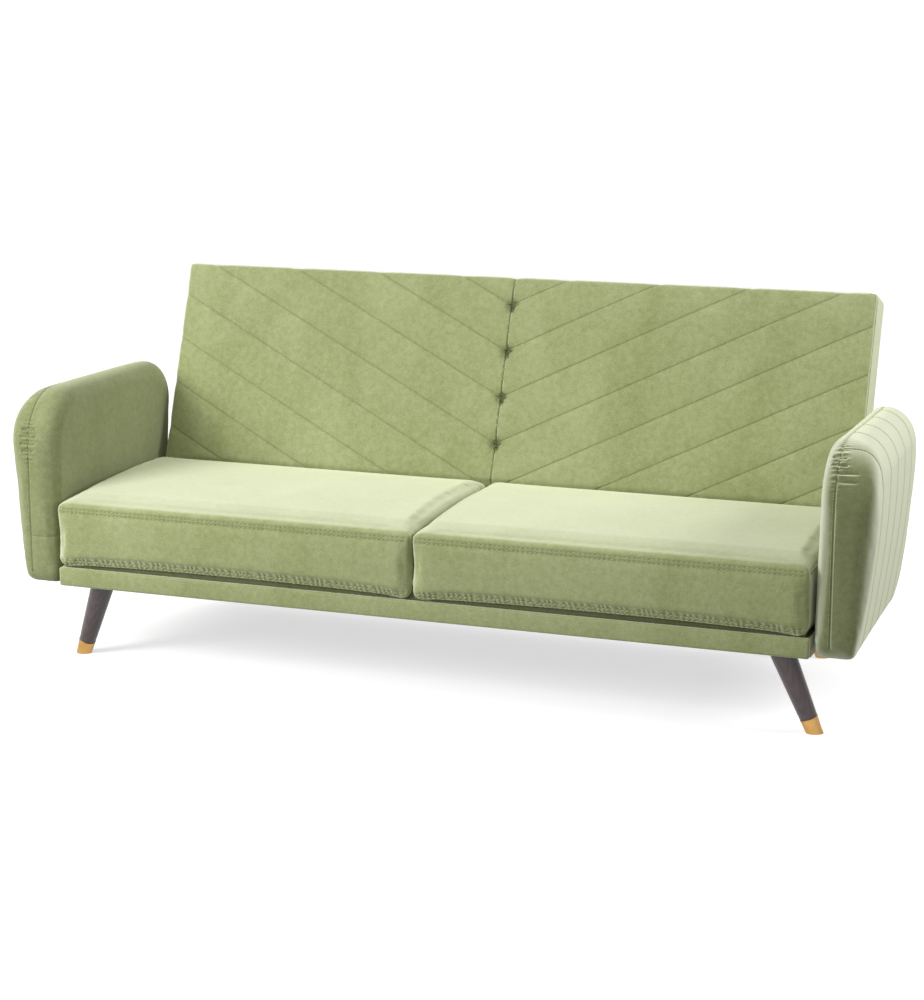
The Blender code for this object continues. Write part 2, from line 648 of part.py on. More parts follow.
def build_hinge(side, sign):
    """Base plate with the fixed pin, seat arm and back arm, in three planes beside each other."""
    eye = (PIVOT_Y, PIVOT_Z)
    foot_front = PIVOT_Y - HINGE_FOOT_FRONT
    foot_rear = PIVOT_Y + HINGE_FOOT_REAR
    behind_seat = SEAT_DEPTH + 0.0035
    plate = prism(f"{side}_hinge_base_plate", [
        (foot_front, RAIL_LOW), (foot_rear, RAIL_LOW), (foot_rear, RAIL_HIGH),
        *arc(eye, EYE, 0, 180, 6),
        (behind_seat, RAIL_TOP + 0.03), (behind_seat, RAIL_HIGH), (foot_front, RAIL_HIGH),
    ], (sign * BASE_PLATE_IN, sign * BASE_PLATE_OUT), "steel")
    arm_front_edge = SEAT_DEPTH + 0.002
    seat_arm = prism(f"{side}_seat_hinge_arm", [
        (SEAT_ARM_FRONT - PIVOT_Y, SEAT_ARM_LOW - PIVOT_Z),
        (EYE, SEAT_ARM_LOW - PIVOT_Z),
        *arc((0, 0), EYE, 0, 180, 6),
        (arm_front_edge - PIVOT_Y, -EYE * 2),
        (arm_front_edge - PIVOT_Y, SEAT_ARM_HIGH - PIVOT_Z),
        (SEAT_ARM_FRONT - PIVOT_Y, SEAT_ARM_HIGH - PIVOT_Z),
    ], (sign * SEAT_ARM_IN, sign * SEAT_ARM_OUT), "steel", SEAT)
    back_arm = prism(f"{side}_back_hinge_arm", [
        (BACK_ARM_HALF, BACK_ARM_TOP),
        (-BACK_ARM_HALF, BACK_ARM_TOP),
        *arc((0, 0), BACK_ARM_HALF, 180, 360, 6),
    ], (sign * BACK_ARM_IN, sign * BACK_ARM_OUT), "steel", BACK)
    pin_in = sign * (BACK_ARM_IN - GAP / 2)
    pin_out = sign * (BASE_PLATE_OUT + GAP)
    rod(f"{side}_hinge_pin", PIN_RADIUS, (pin_in, pin_out), *eye, "steel", head=PIN_HEAD)
    fixed = rod(f"{side}_pin_hole_fixed", PIN_RADIUS + GAP,
                (sign * (BASE_PLATE_IN - 0.002), sign * (BASE_PLATE_OUT + 0.002)), *eye)
    cut(plate, fixed)
    running = rod(f"{side}_pin_hole_running", PIN_RADIUS + RUNNING,
                  (sign * (BACK_ARM_IN - 0.002), sign * (SEAT_ARM_OUT + 0.0005)), *eye)
    cut(seat_arm, running)
    cut(back_arm, running)


# ---------------------------------------------------------------- the whole sofa
base_pieces = build_base()
build_legs(base_pieces)
for side_name, side_sign in each_side():
    build_arm(side_name, side_sign, base_pieces)
    build_hinge(side_name, side_sign)
build_seat()
build_back()
bpy.context.view_layer.update()
print(f"pivot y {PIVOT_Y - DEPTH / 2:.5f} z {PIVOT_Z:.5f}, depth {DEPTH:.4f}")
for inset, top_y, splay in (
    (LEG_FRONT_INSET[0], LEG_FRONT_INSET[1], LEG_SPLAY_FRONT),
    (LEG_REAR_INSET, REAR_LEG_Y, LEG_SPLAY_REAR),
):
    print(f"foot x {HALF_SEAT - inset + splay[0]:.4f} y {top_y + splay[1] - DEPTH / 2:.5f}")
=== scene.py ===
# %% [markdown]
# # A click-clack sofa bed in green velvet
# This lesson dresses a working frame. The frame already holds the timber, hinges and legs of a
# three-seat sofa whose back folds flat, and it decides where everything is. Here we add what a
# person sees and touches: padded velvet cushions with their seams, turned wooden legs with brass
# caps, and a studio to look at them in. All lengths are metres, +Z is up and +Y points to the rear.

# %% Load the frame
import json
import math

import bpy
from mathutils import Matrix, Vector, noise
from mathutils.bvhtree import BVHTree
from mathutils.kdtree import KDTree


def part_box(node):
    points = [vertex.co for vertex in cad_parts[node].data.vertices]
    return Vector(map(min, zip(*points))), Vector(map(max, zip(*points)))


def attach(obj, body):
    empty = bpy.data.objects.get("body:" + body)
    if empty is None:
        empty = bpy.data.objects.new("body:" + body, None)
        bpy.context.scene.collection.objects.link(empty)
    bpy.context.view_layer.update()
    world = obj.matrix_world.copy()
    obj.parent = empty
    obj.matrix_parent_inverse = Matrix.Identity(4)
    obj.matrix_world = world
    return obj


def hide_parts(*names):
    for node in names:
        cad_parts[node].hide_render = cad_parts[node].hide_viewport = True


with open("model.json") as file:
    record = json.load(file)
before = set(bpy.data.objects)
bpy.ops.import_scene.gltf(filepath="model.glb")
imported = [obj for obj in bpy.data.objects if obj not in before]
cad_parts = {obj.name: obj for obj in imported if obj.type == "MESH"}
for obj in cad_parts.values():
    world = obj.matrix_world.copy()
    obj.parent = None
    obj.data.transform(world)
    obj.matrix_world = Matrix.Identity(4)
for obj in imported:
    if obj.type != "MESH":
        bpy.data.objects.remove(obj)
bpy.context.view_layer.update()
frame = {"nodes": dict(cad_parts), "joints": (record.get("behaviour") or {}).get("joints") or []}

SCENE = bpy.context.scene
MM = 0.001

# %% [markdown]
# ## The studio
# A product shot wants soft light from large sources and a pale floor that runs out of sight. The
# camera stands to the right of the middle at standing height and looks a little down, with a long
# lens, so that the arms and legs keep their true proportions. A wide lens close up would be easier
# to place, but it would swell the near arm.

# %% Camera
CAMERA_AT = Vector((1.904, -5.0937, 1.56))
CAMERA_TURN = 0.362
CAMERA_DIP = 0.212
LENS = 84.29

camera = bpy.data.objects.new("studio_camera", bpy.data.cameras.new("studio_camera"))
SCENE.collection.objects.link(camera)
camera.location = CAMERA_AT
camera.rotation_euler = (math.pi / 2 - CAMERA_DIP, 0, CAMERA_TURN)
camera.data.sensor_width = 36
camera.data.lens = LENS
SCENE.camera = camera
SCENE.view_settings.view_transform = "Standard"
print("camera stands", round(CAMERA_AT.length, 2), "m from the sofa")


# %% Floor and lights
SKY_SEEN = 1.02
SKY_LIGHT = 0.30
SUN_STRENGTH = 1.14
SUN_WIDTH = math.radians(100)
FLOOR_GLOW = 0.62


def studio_floor():
    """A wide pale sheet, lit from below, that reaches past everything the camera sees
    and throws no light up onto the sofa, as in a picture cut out on white."""
    bpy.ops.object.select_all(action="DESELECT")
    bpy.ops.mesh.primitive_plane_add(size=40)
    floor = bpy.context.object
    floor.name = "studio_floor"
    paint = bpy.data.materials.new("studio_white")
    paint.use_nodes = True
    shader = next(made for made in paint.node_tree.nodes if made.type == "BSDF_PRINCIPLED")
    shader.inputs["Base Color"].default_value = (0.66, 0.66, 0.66, 1)
    shader.inputs["Roughness"].default_value = 1.0
    shader.inputs["Specular IOR Level"].default_value = 0.0
    shader.inputs["Emission Color"].default_value = (1, 1, 1, 1)
    shader.inputs["Emission Strength"].default_value = FLOOR_GLOW
    floor.data.materials.append(paint)
    floor.visible_diffuse = False
    return floor


def softbox(name, place, aim, width, watts):
    """A square area light that looks at a point."""
    light = bpy.data.objects.new(name, bpy.data.lights.new(name, "AREA"))
    SCENE.collection.objects.link(light)
    light.data.size = width
    light.data.energy = watts
    light.location = place
    light.rotation_euler = (Vector(aim) - Vector(place)).to_track_quat("-Z", "Y").to_euler()
    return light


def white_sky():
    """An even sky: the camera sees plain white, the sofa is lit by a dimmer one."""
    sky = bpy.data.worlds.new("studio_air")
    SCENE.world = sky
    sky.use_nodes = True
    tree = sky.node_tree
    seen = tree.nodes["Background"]
    seen.inputs["Color"].default_value = (1, 1, 1, 1)
    seen.inputs["Strength"].default_value = SKY_SEEN
    lit = tree.nodes.new("ShaderNodeBackground")
    lit.inputs["Color"].default_value = (1, 1, 1, 1)
    lit.inputs["Strength"].default_value = SKY_LIGHT
    either = tree.nodes.new("ShaderNodeMixShader")
    rays = tree.nodes.new("ShaderNodeLightPath")
    tree.links.new(rays.outputs["Is Camera Ray"], either.inputs[0])
    tree.links.new(lit.outputs[0], either.inputs[1])
    tree.links.new(seen.outputs[0], either.inputs[2])
    tree.links.new(either.outputs[0], tree.nodes["World Output"].inputs["Surface"])


def soft_sun(toward):
    """A very wide sun: it lights the whole floor alike, which no lamp close by can do."""
    sun = bpy.data.objects.new("overhead_panel", bpy.data.lights.new("overhead_panel", "SUN"))
    SCENE.collection.objects.link(sun)
    sun.data.energy = SUN_STRENGTH
    sun.data.angle = SUN_WIDTH
    sun.rotation_euler = Vector(toward).to_track_quat("-Z", "Y").to_euler()


studio_floor()
white_sky()
soft_sun((0.24, 0.32, -1.0))
softbox("left_softbox", (-2.5, -2.8, 1.9), (-0.6, 0.0, 0.5), 1.5, 124.0)
softbox("right_softbox", (3.4, 0.3, 2.2), (0.0, 0.0, 0.5), 1.4, 72.0)
print("studio lit by a white sky, a wide overhead panel and a softbox on each side")


# %% Node helpers
def new_material(name):
    """An empty node material and its shader, ready to be wired."""
    made = bpy.data.materials.new(name)
    made.use_nodes = True
    tree = made.node_tree
    shader = next(node for node in tree.nodes if node.type == "BSDF_PRINCIPLED")
    return made, tree, shader


def node(tree, kind, settings=None, **inputs):
    """Adds one node, sets its properties, and fills or links its inputs by name."""
    made = tree.nodes.new(kind)
    for key, value in (settings or {}).items():
        setattr(made, key, value)
    for key, value in inputs.items():
        socket = made.inputs[int(key[1:])] if key[0] == "_" else made.inputs[key.replace("_", " ")]
        if isinstance(value, bpy.types.NodeSocket):
            tree.links.new(value, socket)
        else:
            socket.default_value = value
    return made


def object_pattern(tree, scale=(1, 1, 1), turn=(0, 0, 0)):
    """Object coordinates, stretched and turned: patterns stay fixed to the piece."""
    place = node(tree, "ShaderNodeTexCoord").outputs["Object"]
    mapped = node(tree, "ShaderNodeMapping", Vector=place, Scale=scale, Rotation=turn)
    return mapped.outputs["Vector"]


def cloudy(tree, vector, scale, detail=3.0, roughness=0.55, distortion=0.0):
    """A noise value from 0 to 1."""
    made = node(tree, "ShaderNodeTexNoise", Vector=vector, Scale=scale, Detail=detail,
                Roughness=roughness, Distortion=distortion)
    return made.outputs["Fac"]


def remap(tree, value, low, high, to_low=0.0, to_high=1.0):
    """Stretches a value from one range to another, and stops at the ends."""
    made = node(tree, "ShaderNodeMapRange", Value=value, From_Min=low, From_Max=high,
                To_Min=to_low, To_Max=to_high)
    return made.outputs["Result"]


def sums(tree, operation, first, second):
    return node(tree, "ShaderNodeMath", {"operation": operation}, _0=first, _1=second).outputs[0]


def blend_colours(tree, factor, first, second, how="MIX"):
    made = node(tree, "ShaderNodeMix", {"data_type": "RGBA", "blend_type": how}, _0=factor)
    for socket, value in ((made.inputs[6], first), (made.inputs[7], second)):
        if isinstance(value, bpy.types.NodeSocket):
            tree.links.new(value, socket)
        else:
            socket.default_value = (*value, 1)
    return made.outputs[2]


def bump(tree, height, distance, strength=1.0, over=None):
    made = node(tree, "ShaderNodeBump", Height=height, Distance=distance, Strength=strength)
    if over:
        tree.links.new(over, made.inputs["Normal"])
    return made.outputs["Normal"]


print("node helpers ready")

# %% [markdown]
# ## Velvet
# Velvet is a forest of short upright threads. Looked at straight on you see down between them, so
# it is deep and dull; looked at along the surface you see their lit tips, so it turns pale. A
# roughness value alone can't do that. The shader's sheen layer can, and a second, weaker change
# from deep to pale by viewing angle is a painted sheen: the pale colour of the lit tips is mixed
# into the base colour. A copy of the velvet can also be darkened as a whole with painted shade,
# for parts that sit in shadow. The pile lies in patches where hands have stroked it, which shows as
# slow cloudy marks. Each padded piece carries a "crease" attribute that says how deep in a seam a
# point is, and the colour is darkened by it: mostly painted shade in the grooves and dimples,
# partly the pile pressed flat there.

# %% Velvet
PILE_DEEP = (0.250, 0.283, 0.114)
PILE_STROKED = (0.388, 0.425, 0.220)
# painted sheen: the pale tip colour mixed into the base colour at low viewing angles
PAINTED_SHEEN_TIPS = (0.93, 0.95, 0.78)
SEAM_SHADE = (0.12, 0.145, 0.05)
# each arm's velvet is darkened as a whole: painted shade for how light falls on that arm
ARM_PAINTED_SHADE = {"left": 0.76, "right": 0.58}


def velvet(name, painted_shade_scale=1.0, painted_sheen_amount=0.44, painted_sheen_from=0.36):
    """The sofa's velvet. A factor below 1 darkens the whole colour with painted shade, for a piece
    that sits in shadow. The next two numbers say how much painted sheen, the pale colour of the lit
    tips, is mixed in at a low viewing angle, and where it begins."""
    deep = tuple(channel * painted_shade_scale for channel in PILE_DEEP)
    stroked = tuple(channel * painted_shade_scale for channel in PILE_STROKED)
    made, tree, shader = new_material(name)
    even = object_pattern(tree)
    brushed = object_pattern(tree, scale=(1.0, 1.0, 0.35), turn=(0.0, 0.0, 0.4))
    patches = cloudy(tree, brushed, 5.5, 4.0, 0.6, 0.6)
    mottle = cloudy(tree, even, 70.0, 4.0, 0.7)
    fibres = cloudy(tree, even, 420.0, 2.0, 0.7)
    stroke = sums(tree, "ADD", sums(tree, "MULTIPLY", patches, 0.5),
                  sums(tree, "MULTIPLY", mottle, 0.5))
    tone = blend_colours(tree, remap(tree, stroke, 0.32, 0.68), deep, stroked)
    grain = remap(tree, fibres, 0.25, 0.75, 0.80, 1.18)
    shaded = node(tree, "ShaderNodeVectorMath", {"operation": "SCALE"}, _0=tone, Scale=grain)
    # painted sheen: the colour turns toward the pale tips as the surface is seen edge-on
    facing = node(tree, "ShaderNodeLayerWeight", Blend=0.5).outputs["Facing"]
    tips = remap(tree, facing, painted_sheen_from, 0.66, 0.0, painted_sheen_amount)
    lit = blend_colours(tree, tips, shaded.outputs[0], PAINTED_SHEEN_TIPS)
    # painted shade: the crease attribute darkens the colour toward SEAM_SHADE in seams and tie
    # dimples, partly the pile pressed flat there
    crease = node(tree, "ShaderNodeAttribute", {"attribute_name": "crease"}).outputs["Fac"]
    colour = blend_colours(tree, sums(tree, "MULTIPLY", crease, 0.5), lit, SEAM_SHADE)
    tree.links.new(colour, shader.inputs["Base Color"])
    shader.inputs["Roughness"].default_value = 0.86
    shader.inputs["Specular IOR Level"].default_value = 0.18
    shader.inputs["Sheen Weight"].default_value = 0.55
    shader.inputs["Sheen Roughness"].default_value = 0.42
    shader.inputs["Sheen Tint"].default_value = (0.86, 0.93, 0.62, 1)
    nap = bump(tree, mottle, 0.5 * MM, 0.45)
    tree.links.new(bump(tree, fibres, 0.25 * MM, 0.5, nap), shader.inputs["Normal"])
    return made


VELVET = velvet("velvet_green")
# the arms and the gap wear their own copies of the velvet: darker, with more or less painted sheen, as
# painted light and shade for where each sits
VELVET_ARM_PAINTED_LIGHT = {"left": velvet("velvet_green_left_arm_painted_light", ARM_PAINTED_SHADE["left"], 0.10),
               "right": velvet("velvet_green_right_arm_painted_light", ARM_PAINTED_SHADE["right"], 0.60, 0.10)}
# the gap's copy: much darker as painted shade, with no painted sheen
VELVET_PAINTED_SHADE = velvet("velvet_green_painted_shade_in_gap", 0.34, 0.0)
print("velvet:", len(VELVET.node_tree.nodes), "nodes")


# %% Thread
def thread_finish():
    """Spun polyester thread, a shade lighter than the seam it lies in."""
    made, tree, shader = new_material("sewing_thread")
    ply = cloudy(tree, object_pattern(tree), 900.0, 1.0)
    colour = blend_colours(tree, ply, (0.30, 0.345, 0.15), (0.50, 0.56, 0.30))
    tree.links.new(colour, shader.inputs["Base Color"])
    shader.inputs["Roughness"].default_value = 0.6
    shader.inputs["Sheen Weight"].default_value = 0.2
    return made


THREAD = thread_finish()
print("thread ready")

# %% [markdown]
# ## Wood, brass, steel and board
# The legs are turned hardwood stained almost black, so grain shows only as faint streaks along
# each leg under a satin lacquer. The caps are spun brass with fine rings round them. Inside, the
# frame is planed pine with plywood panels. Grain is made by squeezing a noise across the length
# of the piece, which gives long fibres for very little work; an image would be heavier and would
# need unwrapping.


# %% Timber and metals
def timber(name, dark, light, along, rings, gloss, coat):
    """Wood whose fibres run along one axis: along is the pattern's squeeze in x, y and z."""
    made, tree, shader = new_material(name)
    stretched = object_pattern(tree, scale=along)
    fibres = cloudy(tree, stretched, rings, 5.0, 0.62, 0.8)
    pores = cloudy(tree, stretched, rings * 5, 2.0, 0.7)
    growth = node(tree, "ShaderNodeTexWave", {"wave_type": "RINGS"}, Vector=stretched,
                  Scale=rings * 0.35, Distortion=5.0, Detail=2.0).outputs["Fac"]
    figure = sums(tree, "ADD", sums(tree, "MULTIPLY", fibres, 0.65),
                  sums(tree, "MULTIPLY", growth, 0.35))
    tone = blend_colours(tree, remap(tree, figure, 0.3, 0.75), dark, light)
    tree.links.new(tone, shader.inputs["Base Color"])
    tree.links.new(remap(tree, pores, 0.3, 0.7, gloss - 0.06, gloss + 0.1),
                   shader.inputs["Roughness"])
    shader.inputs["Coat Weight"].default_value = coat
    shader.inputs["Coat Roughness"].default_value = 0.3
    tree.links.new(bump(tree, pores, 0.2 * MM, 0.25), shader.inputs["Normal"])
    return made


def metal(name, colour, gloss, scratch, squeeze):
    """Metal with fine tool marks, squeezed so that they run round or along the piece."""
    made, tree, shader = new_material(name)
    marks = cloudy(tree, object_pattern(tree, scale=squeeze), scratch, 3.0, 0.7)
    stain = cloudy(tree, object_pattern(tree), 35.0, 3.0)
    darker = tuple(channel * 0.78 for channel in colour)
    tone = blend_colours(tree, remap(tree, stain, 0.35, 0.75), colour, darker)
    tree.links.new(tone, shader.inputs["Base Color"])
    tree.links.new(remap(tree, marks, 0.2, 0.8, gloss - 0.07, gloss + 0.1),
                   shader.inputs["Roughness"])
    shader.inputs["Metallic"].default_value = 1.0
    tree.links.new(bump(tree, marks, 0.05 * MM, 0.3), shader.inputs["Normal"])
    return made


WALNUT = timber("stained_walnut", (0.036, 0.019, 0.020), (0.062, 0.034, 0.036),
                (9, 9, 0.8), 16.0, 0.36, 0.35)
PINE = timber("planed_pine", (0.56, 0.37, 0.19), (0.74, 0.56, 0.34), (0.9, 7, 7), 12.0, 0.6, 0.0)
PLYWOOD = timber("birch_plywood", (0.52, 0.38, 0.22), (0.70, 0.56, 0.36),
                 (1, 6, 12), 9.0, 0.62, 0.0)
BRASS = metal("spun_brass", (0.57, 0.335, 0.115), 0.34, 220.0, (1, 1, 14))
STEEL = metal("zinc_plated_steel", (0.58, 0.59, 0.58), 0.38, 300.0, (1, 8, 1))
print("timber and metals ready")


# %% Dust cloth
def dust_cloth_finish():
    """Spun-bonded lining: thin black fleece, pressed in a lattice of tiny dots."""
    made, tree, shader = new_material("spunbond_lining")
    place = object_pattern(tree, turn=(0, 0, math.pi / 4))
    dots = node(tree, "ShaderNodeTexVoronoi", Vector=place, Scale=520.0).outputs["Distance"]
    fleece = cloudy(tree, place, 160.0, 4.0, 0.7)
    tone = blend_colours(tree, fleece, (0.012, 0.012, 0.013), (0.045, 0.045, 0.047))
    tree.links.new(tone, shader.inputs["Base Color"])
    shader.inputs["Roughness"].default_value = 0.92
    tree.links.new(bump(tree, dots, 0.3 * MM, 0.5), shader.inputs["Normal"])
    return made


LINING = dust_cloth_finish()
print("lining ready")

# %% [markdown]
# ## Tools for padded work
# Every padded part of this sofa is made the same way, in the order an upholsterer works: a foam
# block, a cover that is blown tight over it, then the sewing. The block is a primitive shaped in
# edit mode. Its surface is remeshed to even squares and given a short cloth simulation with air
# pressure inside, which rounds the edges and crowns the faces as a stuffed cover does. Sewing
# comes last, because a remesh would wipe out anything narrower than its squares.


# %% Selecting and finishing
def only(piece):
    """Object mode, with just this piece selected and active."""
    if bpy.context.mode != "OBJECT":
        bpy.ops.object.mode_set(mode="OBJECT")
    bpy.ops.object.select_all(action="DESELECT")
    piece.select_set(True)
    bpy.context.view_layer.objects.active = piece
    return piece


def primitive(name, adder, **settings):
    """Adds a primitive with nothing else selected, and names it."""
    if bpy.context.mode != "OBJECT":
        bpy.ops.object.mode_set(mode="OBJECT")
    bpy.ops.object.select_all(action="DESELECT")
    adder(**settings)
    piece = bpy.context.object
    piece.name = name
    piece.data.name = name
    bpy.ops.object.transform_apply(location=True, rotation=True, scale=True)
    return piece


def choose(piece, faces=None, edges=None, points=None):
    """In edit mode, selects the faces, edges or points for which the given test holds."""
    only(piece)
    bpy.ops.object.mode_set(mode="EDIT")
    bpy.ops.mesh.select_mode(type="FACE" if faces else "EDGE" if edges else "VERT")
    bpy.ops.mesh.select_all(action="DESELECT")
    bpy.ops.object.mode_set(mode="OBJECT")
    mesh = piece.data
    if faces:
        for face in mesh.polygons:
            face.select = faces(face)
    elif edges:
        for edge in mesh.edges:
            edge.select = edges(*(mesh.vertices[index].co for index in edge.vertices))
    else:
        for point in mesh.vertices:
            point.select = points(point.co)
    bpy.ops.object.mode_set(mode="EDIT")


def modify(piece, kind, **settings):
    """Adds a modifier and applies it at once."""
    only(piece)
    made = piece.modifiers.new("step", kind)
    for key, value in settings.items():
        setattr(made, key, value)
    bpy.ops.object.modifier_apply(modifier=made.name)
    return piece


def dress(piece, finish, slot, body, *stands_for):
    """Gives the finished piece its material and its body, and hides the frame parts it stands for."""
    only(piece)
    bpy.ops.object.shade_smooth()
    piece.data.materials.clear()
    piece.data.materials.append(finish)
    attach(piece, body)
    if stands_for:
        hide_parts(*stands_for)
    return piece


print("shop tools ready")


# %% Stuffing a cover
def even_squares(piece, size):
    """Remeshes the block to even squares and eases the stair steps out of its slopes."""
    modify(piece, "REMESH", mode="VOXEL", voxel_size=size)
    return modify(piece, "SMOOTH", factor=0.5, iterations=3)


def stuff(piece, most, give, pressure=4.0, frames=12):
    """Blows the cover up with air pressure. No point moves further than `most`, and give(place)
    says what share of its move a point may make, which keeps a sewn edge crisp."""
    before = [point.co.copy() for point in piece.data.vertices]
    cloth = piece.modifiers.new("stuffing", "CLOTH")
    cloth.settings.quality = 3
    cloth.settings.use_pressure = True
    cloth.settings.uniform_pressure_force = pressure
    cloth.settings.effector_weights.gravity = 0
    cloth.point_cache.frame_end = frames
    for step in range(1, frames + 1):
        SCENE.frame_set(step)
    only(piece)
    bpy.ops.object.modifier_apply(modifier="stuffing")
    SCENE.frame_set(1)
    for point, start in zip(piece.data.vertices, before):
        move = point.co - start
        held = min(1.0, most / move.length) if move.length else 1.0
        point.co = start + move * held * give(start)
    return modify(piece, "SMOOTH", factor=0.5, iterations=2)


def hold_inside(piece, low, high):
    """Presses the stuffed piece back into the room that its neighbours leave it."""
    for point in piece.data.vertices:
        for axis in range(3):
            point.co[axis] = min(max(point.co[axis], low[axis]), high[axis])
    return piece


print("stuffing ready")

# %% [markdown]
# ## Sewing
# A seam is a line on the finished cover. We find it by looking at the cover from outside along a
# straight guide, as a tailor lays a ruler on the cloth. The squares near the line are split finer,
# the cloth is pulled down along it, and small gathers fan out where the cloth is too long for its
# seam. Then the stitches themselves are laid in: one small bead of thread, copied along the line.


# %% Finding a line on the cover
def spread(start, end, step):
    """Points from start to end, no further apart than step."""
    count = max(2, math.ceil((end - start).length / step) + 1)
    return [start.lerp(end, index / (count - 1)) for index in range(count)]


def skin_of(piece):
    """The cover as it is now, ready for rays."""
    return BVHTree.FromPolygons([point.co for point in piece.data.vertices],
                                [face.vertices for face in piece.data.polygons])


def trace(skin, guide, toward):
    """Where rays from the guide's points, sent toward the cover, meet it: points and normals."""
    hits = []
    for index, start in enumerate(guide):
        aim = toward[index] if isinstance(toward, list) else toward
        place, normal, _, _ = skin.ray_cast(start, aim)
        if place is not None:
            hits.append((place, normal))
    return hits


def line_finder(lines):
    """A tree that finds the nearest point of any of these lines."""
    points = [(place, along) for line in lines for along, (place, _) in enumerate(line)]
    tree = KDTree(len(points))
    for index, (place, _) in enumerate(points):
        tree.insert(place, index)
    tree.balance()
    return tree, [along for _, along in points]


def split_near(piece, lines, reach):
    """Splits the faces whose middle is within reach of a line."""
    tree, _ = line_finder(lines)
    choose(piece, faces=lambda face: tree.find(face.center)[2] < reach)
    bpy.ops.mesh.subdivide(number_cuts=1)
    bpy.ops.object.mode_set(mode="OBJECT")
    return piece


print("line tools ready")


# %% Pulling a seam down
GUIDE_STEP = 2 * MM


def sew_down(piece, lines, depth, width, hollow=0.0, hollow_width=14 * MM,
             gather=0.0, gather_pitch=13 * MM, gather_reach=14 * MM, where=None, shade=1.0,
             ease=None, lip=0.0):
    """Pulls the cover in along the lines: a narrow groove, a wide hollow and fanned gathers.
    where(place) is the gathers' share and ease(place) the groove's, from 0 to 1; a lip stands up
    along the lower side, as on a fold of spare cloth."""
    tree, along = line_finder(lines)
    mesh = piece.data
    marks = mesh.attributes.get("crease") or mesh.attributes.new("crease", "FLOAT", "POINT")
    normals = [point.normal.copy() for point in mesh.vertices]
    furthest = 3 * max(width, hollow_width if hollow else 0, gather_reach if gather else 0)
    for point, normal in zip(mesh.vertices, normals):
        place, index, distance = tree.find(point.co)
        if distance > furthest:
            continue
        eased = ease(place) if ease else 1.0
        narrow = eased * math.exp(-((distance / width) ** 2))
        pull = depth * narrow + eased * hollow * math.exp(-((distance / hollow_width) ** 2))
        if lip and point.co.z < place.z:
            pull -= lip * eased * math.exp(-(((distance - 2 * width) / width) ** 2))
        share = where(place) if where else 1.0
        if gather:
            travelled = along[index] * GUIDE_STEP
            wobble = noise.noise(place * 31.0)
            wave = math.sin(2 * math.pi * (travelled / gather_pitch + wobble))
            beside = 1 - math.exp(-((distance / width) ** 2))
            fade = math.exp(-((distance / gather_reach) ** 2)) * beside
            pull += share * gather * fade * wave
        point.co -= normal * pull
        # the crease value darkens the velvet's colour: painted shade in the groove
        marks.data[point.index].value = max(marks.data[point.index].value, shade * narrow)
    return piece


print("seams are pulled", GUIDE_STEP / MM, "mm apart at most")


# %% Laying the stitches
def bead():
    """One stitch of thread: a small ball drawn out along X, modelled once."""
    made = primitive("stitch_bead", bpy.ops.mesh.primitive_uv_sphere_add,
                     segments=6, ring_count=4, radius=1.0, rotation=(0, math.pi / 2, 0))
    shape = [point.co.copy() for point in made.data.vertices]
    faces = [tuple(face.vertices) for face in made.data.polygons]
    bpy.data.objects.remove(made)
    return shape, faces


BEAD_POINTS, BEAD_FACES = bead()


def stitch(name, lines, pitch, length, thick, body, sunk=0.35):
    """Copies the bead along each line, lying on the cover and sunk a little into it."""
    points, faces = [], []
    for line in lines:
        travelled, following = 0.0, pitch / 2
        for (place, normal), (after, _) in zip(line, line[1:]):
            run = (after - place).length
            if not 0 < run < 8 * GUIDE_STEP:
                continue
            while following < travelled + run:
                ahead = (after - place).normalized()
                side = normal.cross(ahead).normalized()
                turn = Matrix((ahead, side, normal)).transposed().to_4x4()
                size = Matrix.Diagonal((length / 2, thick / 2, thick / 2, 1))
                centre = place.lerp(after, (following - travelled) / run)
                centre = centre + normal * thick * (0.5 - sunk)
                put = Matrix.Translation(centre) @ turn @ size
                base = len(points)
                points += [put @ point for point in BEAD_POINTS]
                faces += [tuple(base + index for index in face) for face in BEAD_FACES]
                following += pitch
            travelled += run
    mesh = bpy.data.meshes.new(name)
    mesh.from_pydata(points, [], faces)
    piece = bpy.data.objects.new(name, mesh)
    SCENE.collection.objects.link(piece)
    print(name, len(faces) // len(BEAD_FACES), "stitches")
    return dress(piece, THREAD, "velvet", body)


print("a stitch has", len(BEAD_FACES), "faces")

# %% [markdown]
# ## The seat cushions
# Two foam blocks side by side, each in a boxed cover: a top panel, a boxing strip round the sides
# and a bottom. The top panel is crowned, highest a little behind the middle, and drops toward the
# arms. Two rows of stitches hold the top panel's edge down onto the boxing, and two more close
# the cover at the bottom, where the cloth gathers a little.

# %% One seat cushion
SQUARE = 6 * MM
CUSHION_REAR_HEIGHT = 0.1755
FRONT_DROP = 0.018
CROWN_RISE = 0.017
BOTTOM_ARCH = 0.008
CORNER_LIFT = 0.006
INNER_ROLL, OUTER_ROLL = 0.028, 0.030
TOP_ROWS = (13 * MM, 21 * MM)
BOTTOM_ROWS = (9 * MM, 17 * MM)


def share_of(value, start, end):
    """How far a value has gone from start to end, from 0 to 1."""
    return min(max((value - start) / (end - start), 0.0), 1.0)


def seat_block(name, low, high, front_drop):
    """The foam block: a cube whose top slopes to the front, split finely, ready to be crowned."""
    size = high - low
    piece = primitive(name, bpy.ops.mesh.primitive_cube_add, size=1, location=(low + high) / 2,
                      scale=size)
    choose(piece, points=lambda place: place.z > high.z - MM and place.y < low.y + MM)
    bpy.ops.transform.translate(value=(0, 0, -front_drop))
    bpy.ops.mesh.select_all(action="SELECT")
    bpy.ops.mesh.subdivide(number_cuts=11)
    bpy.ops.object.mode_set(mode="OBJECT")
    return piece


print("cushion squares", SQUARE / MM, "mm")


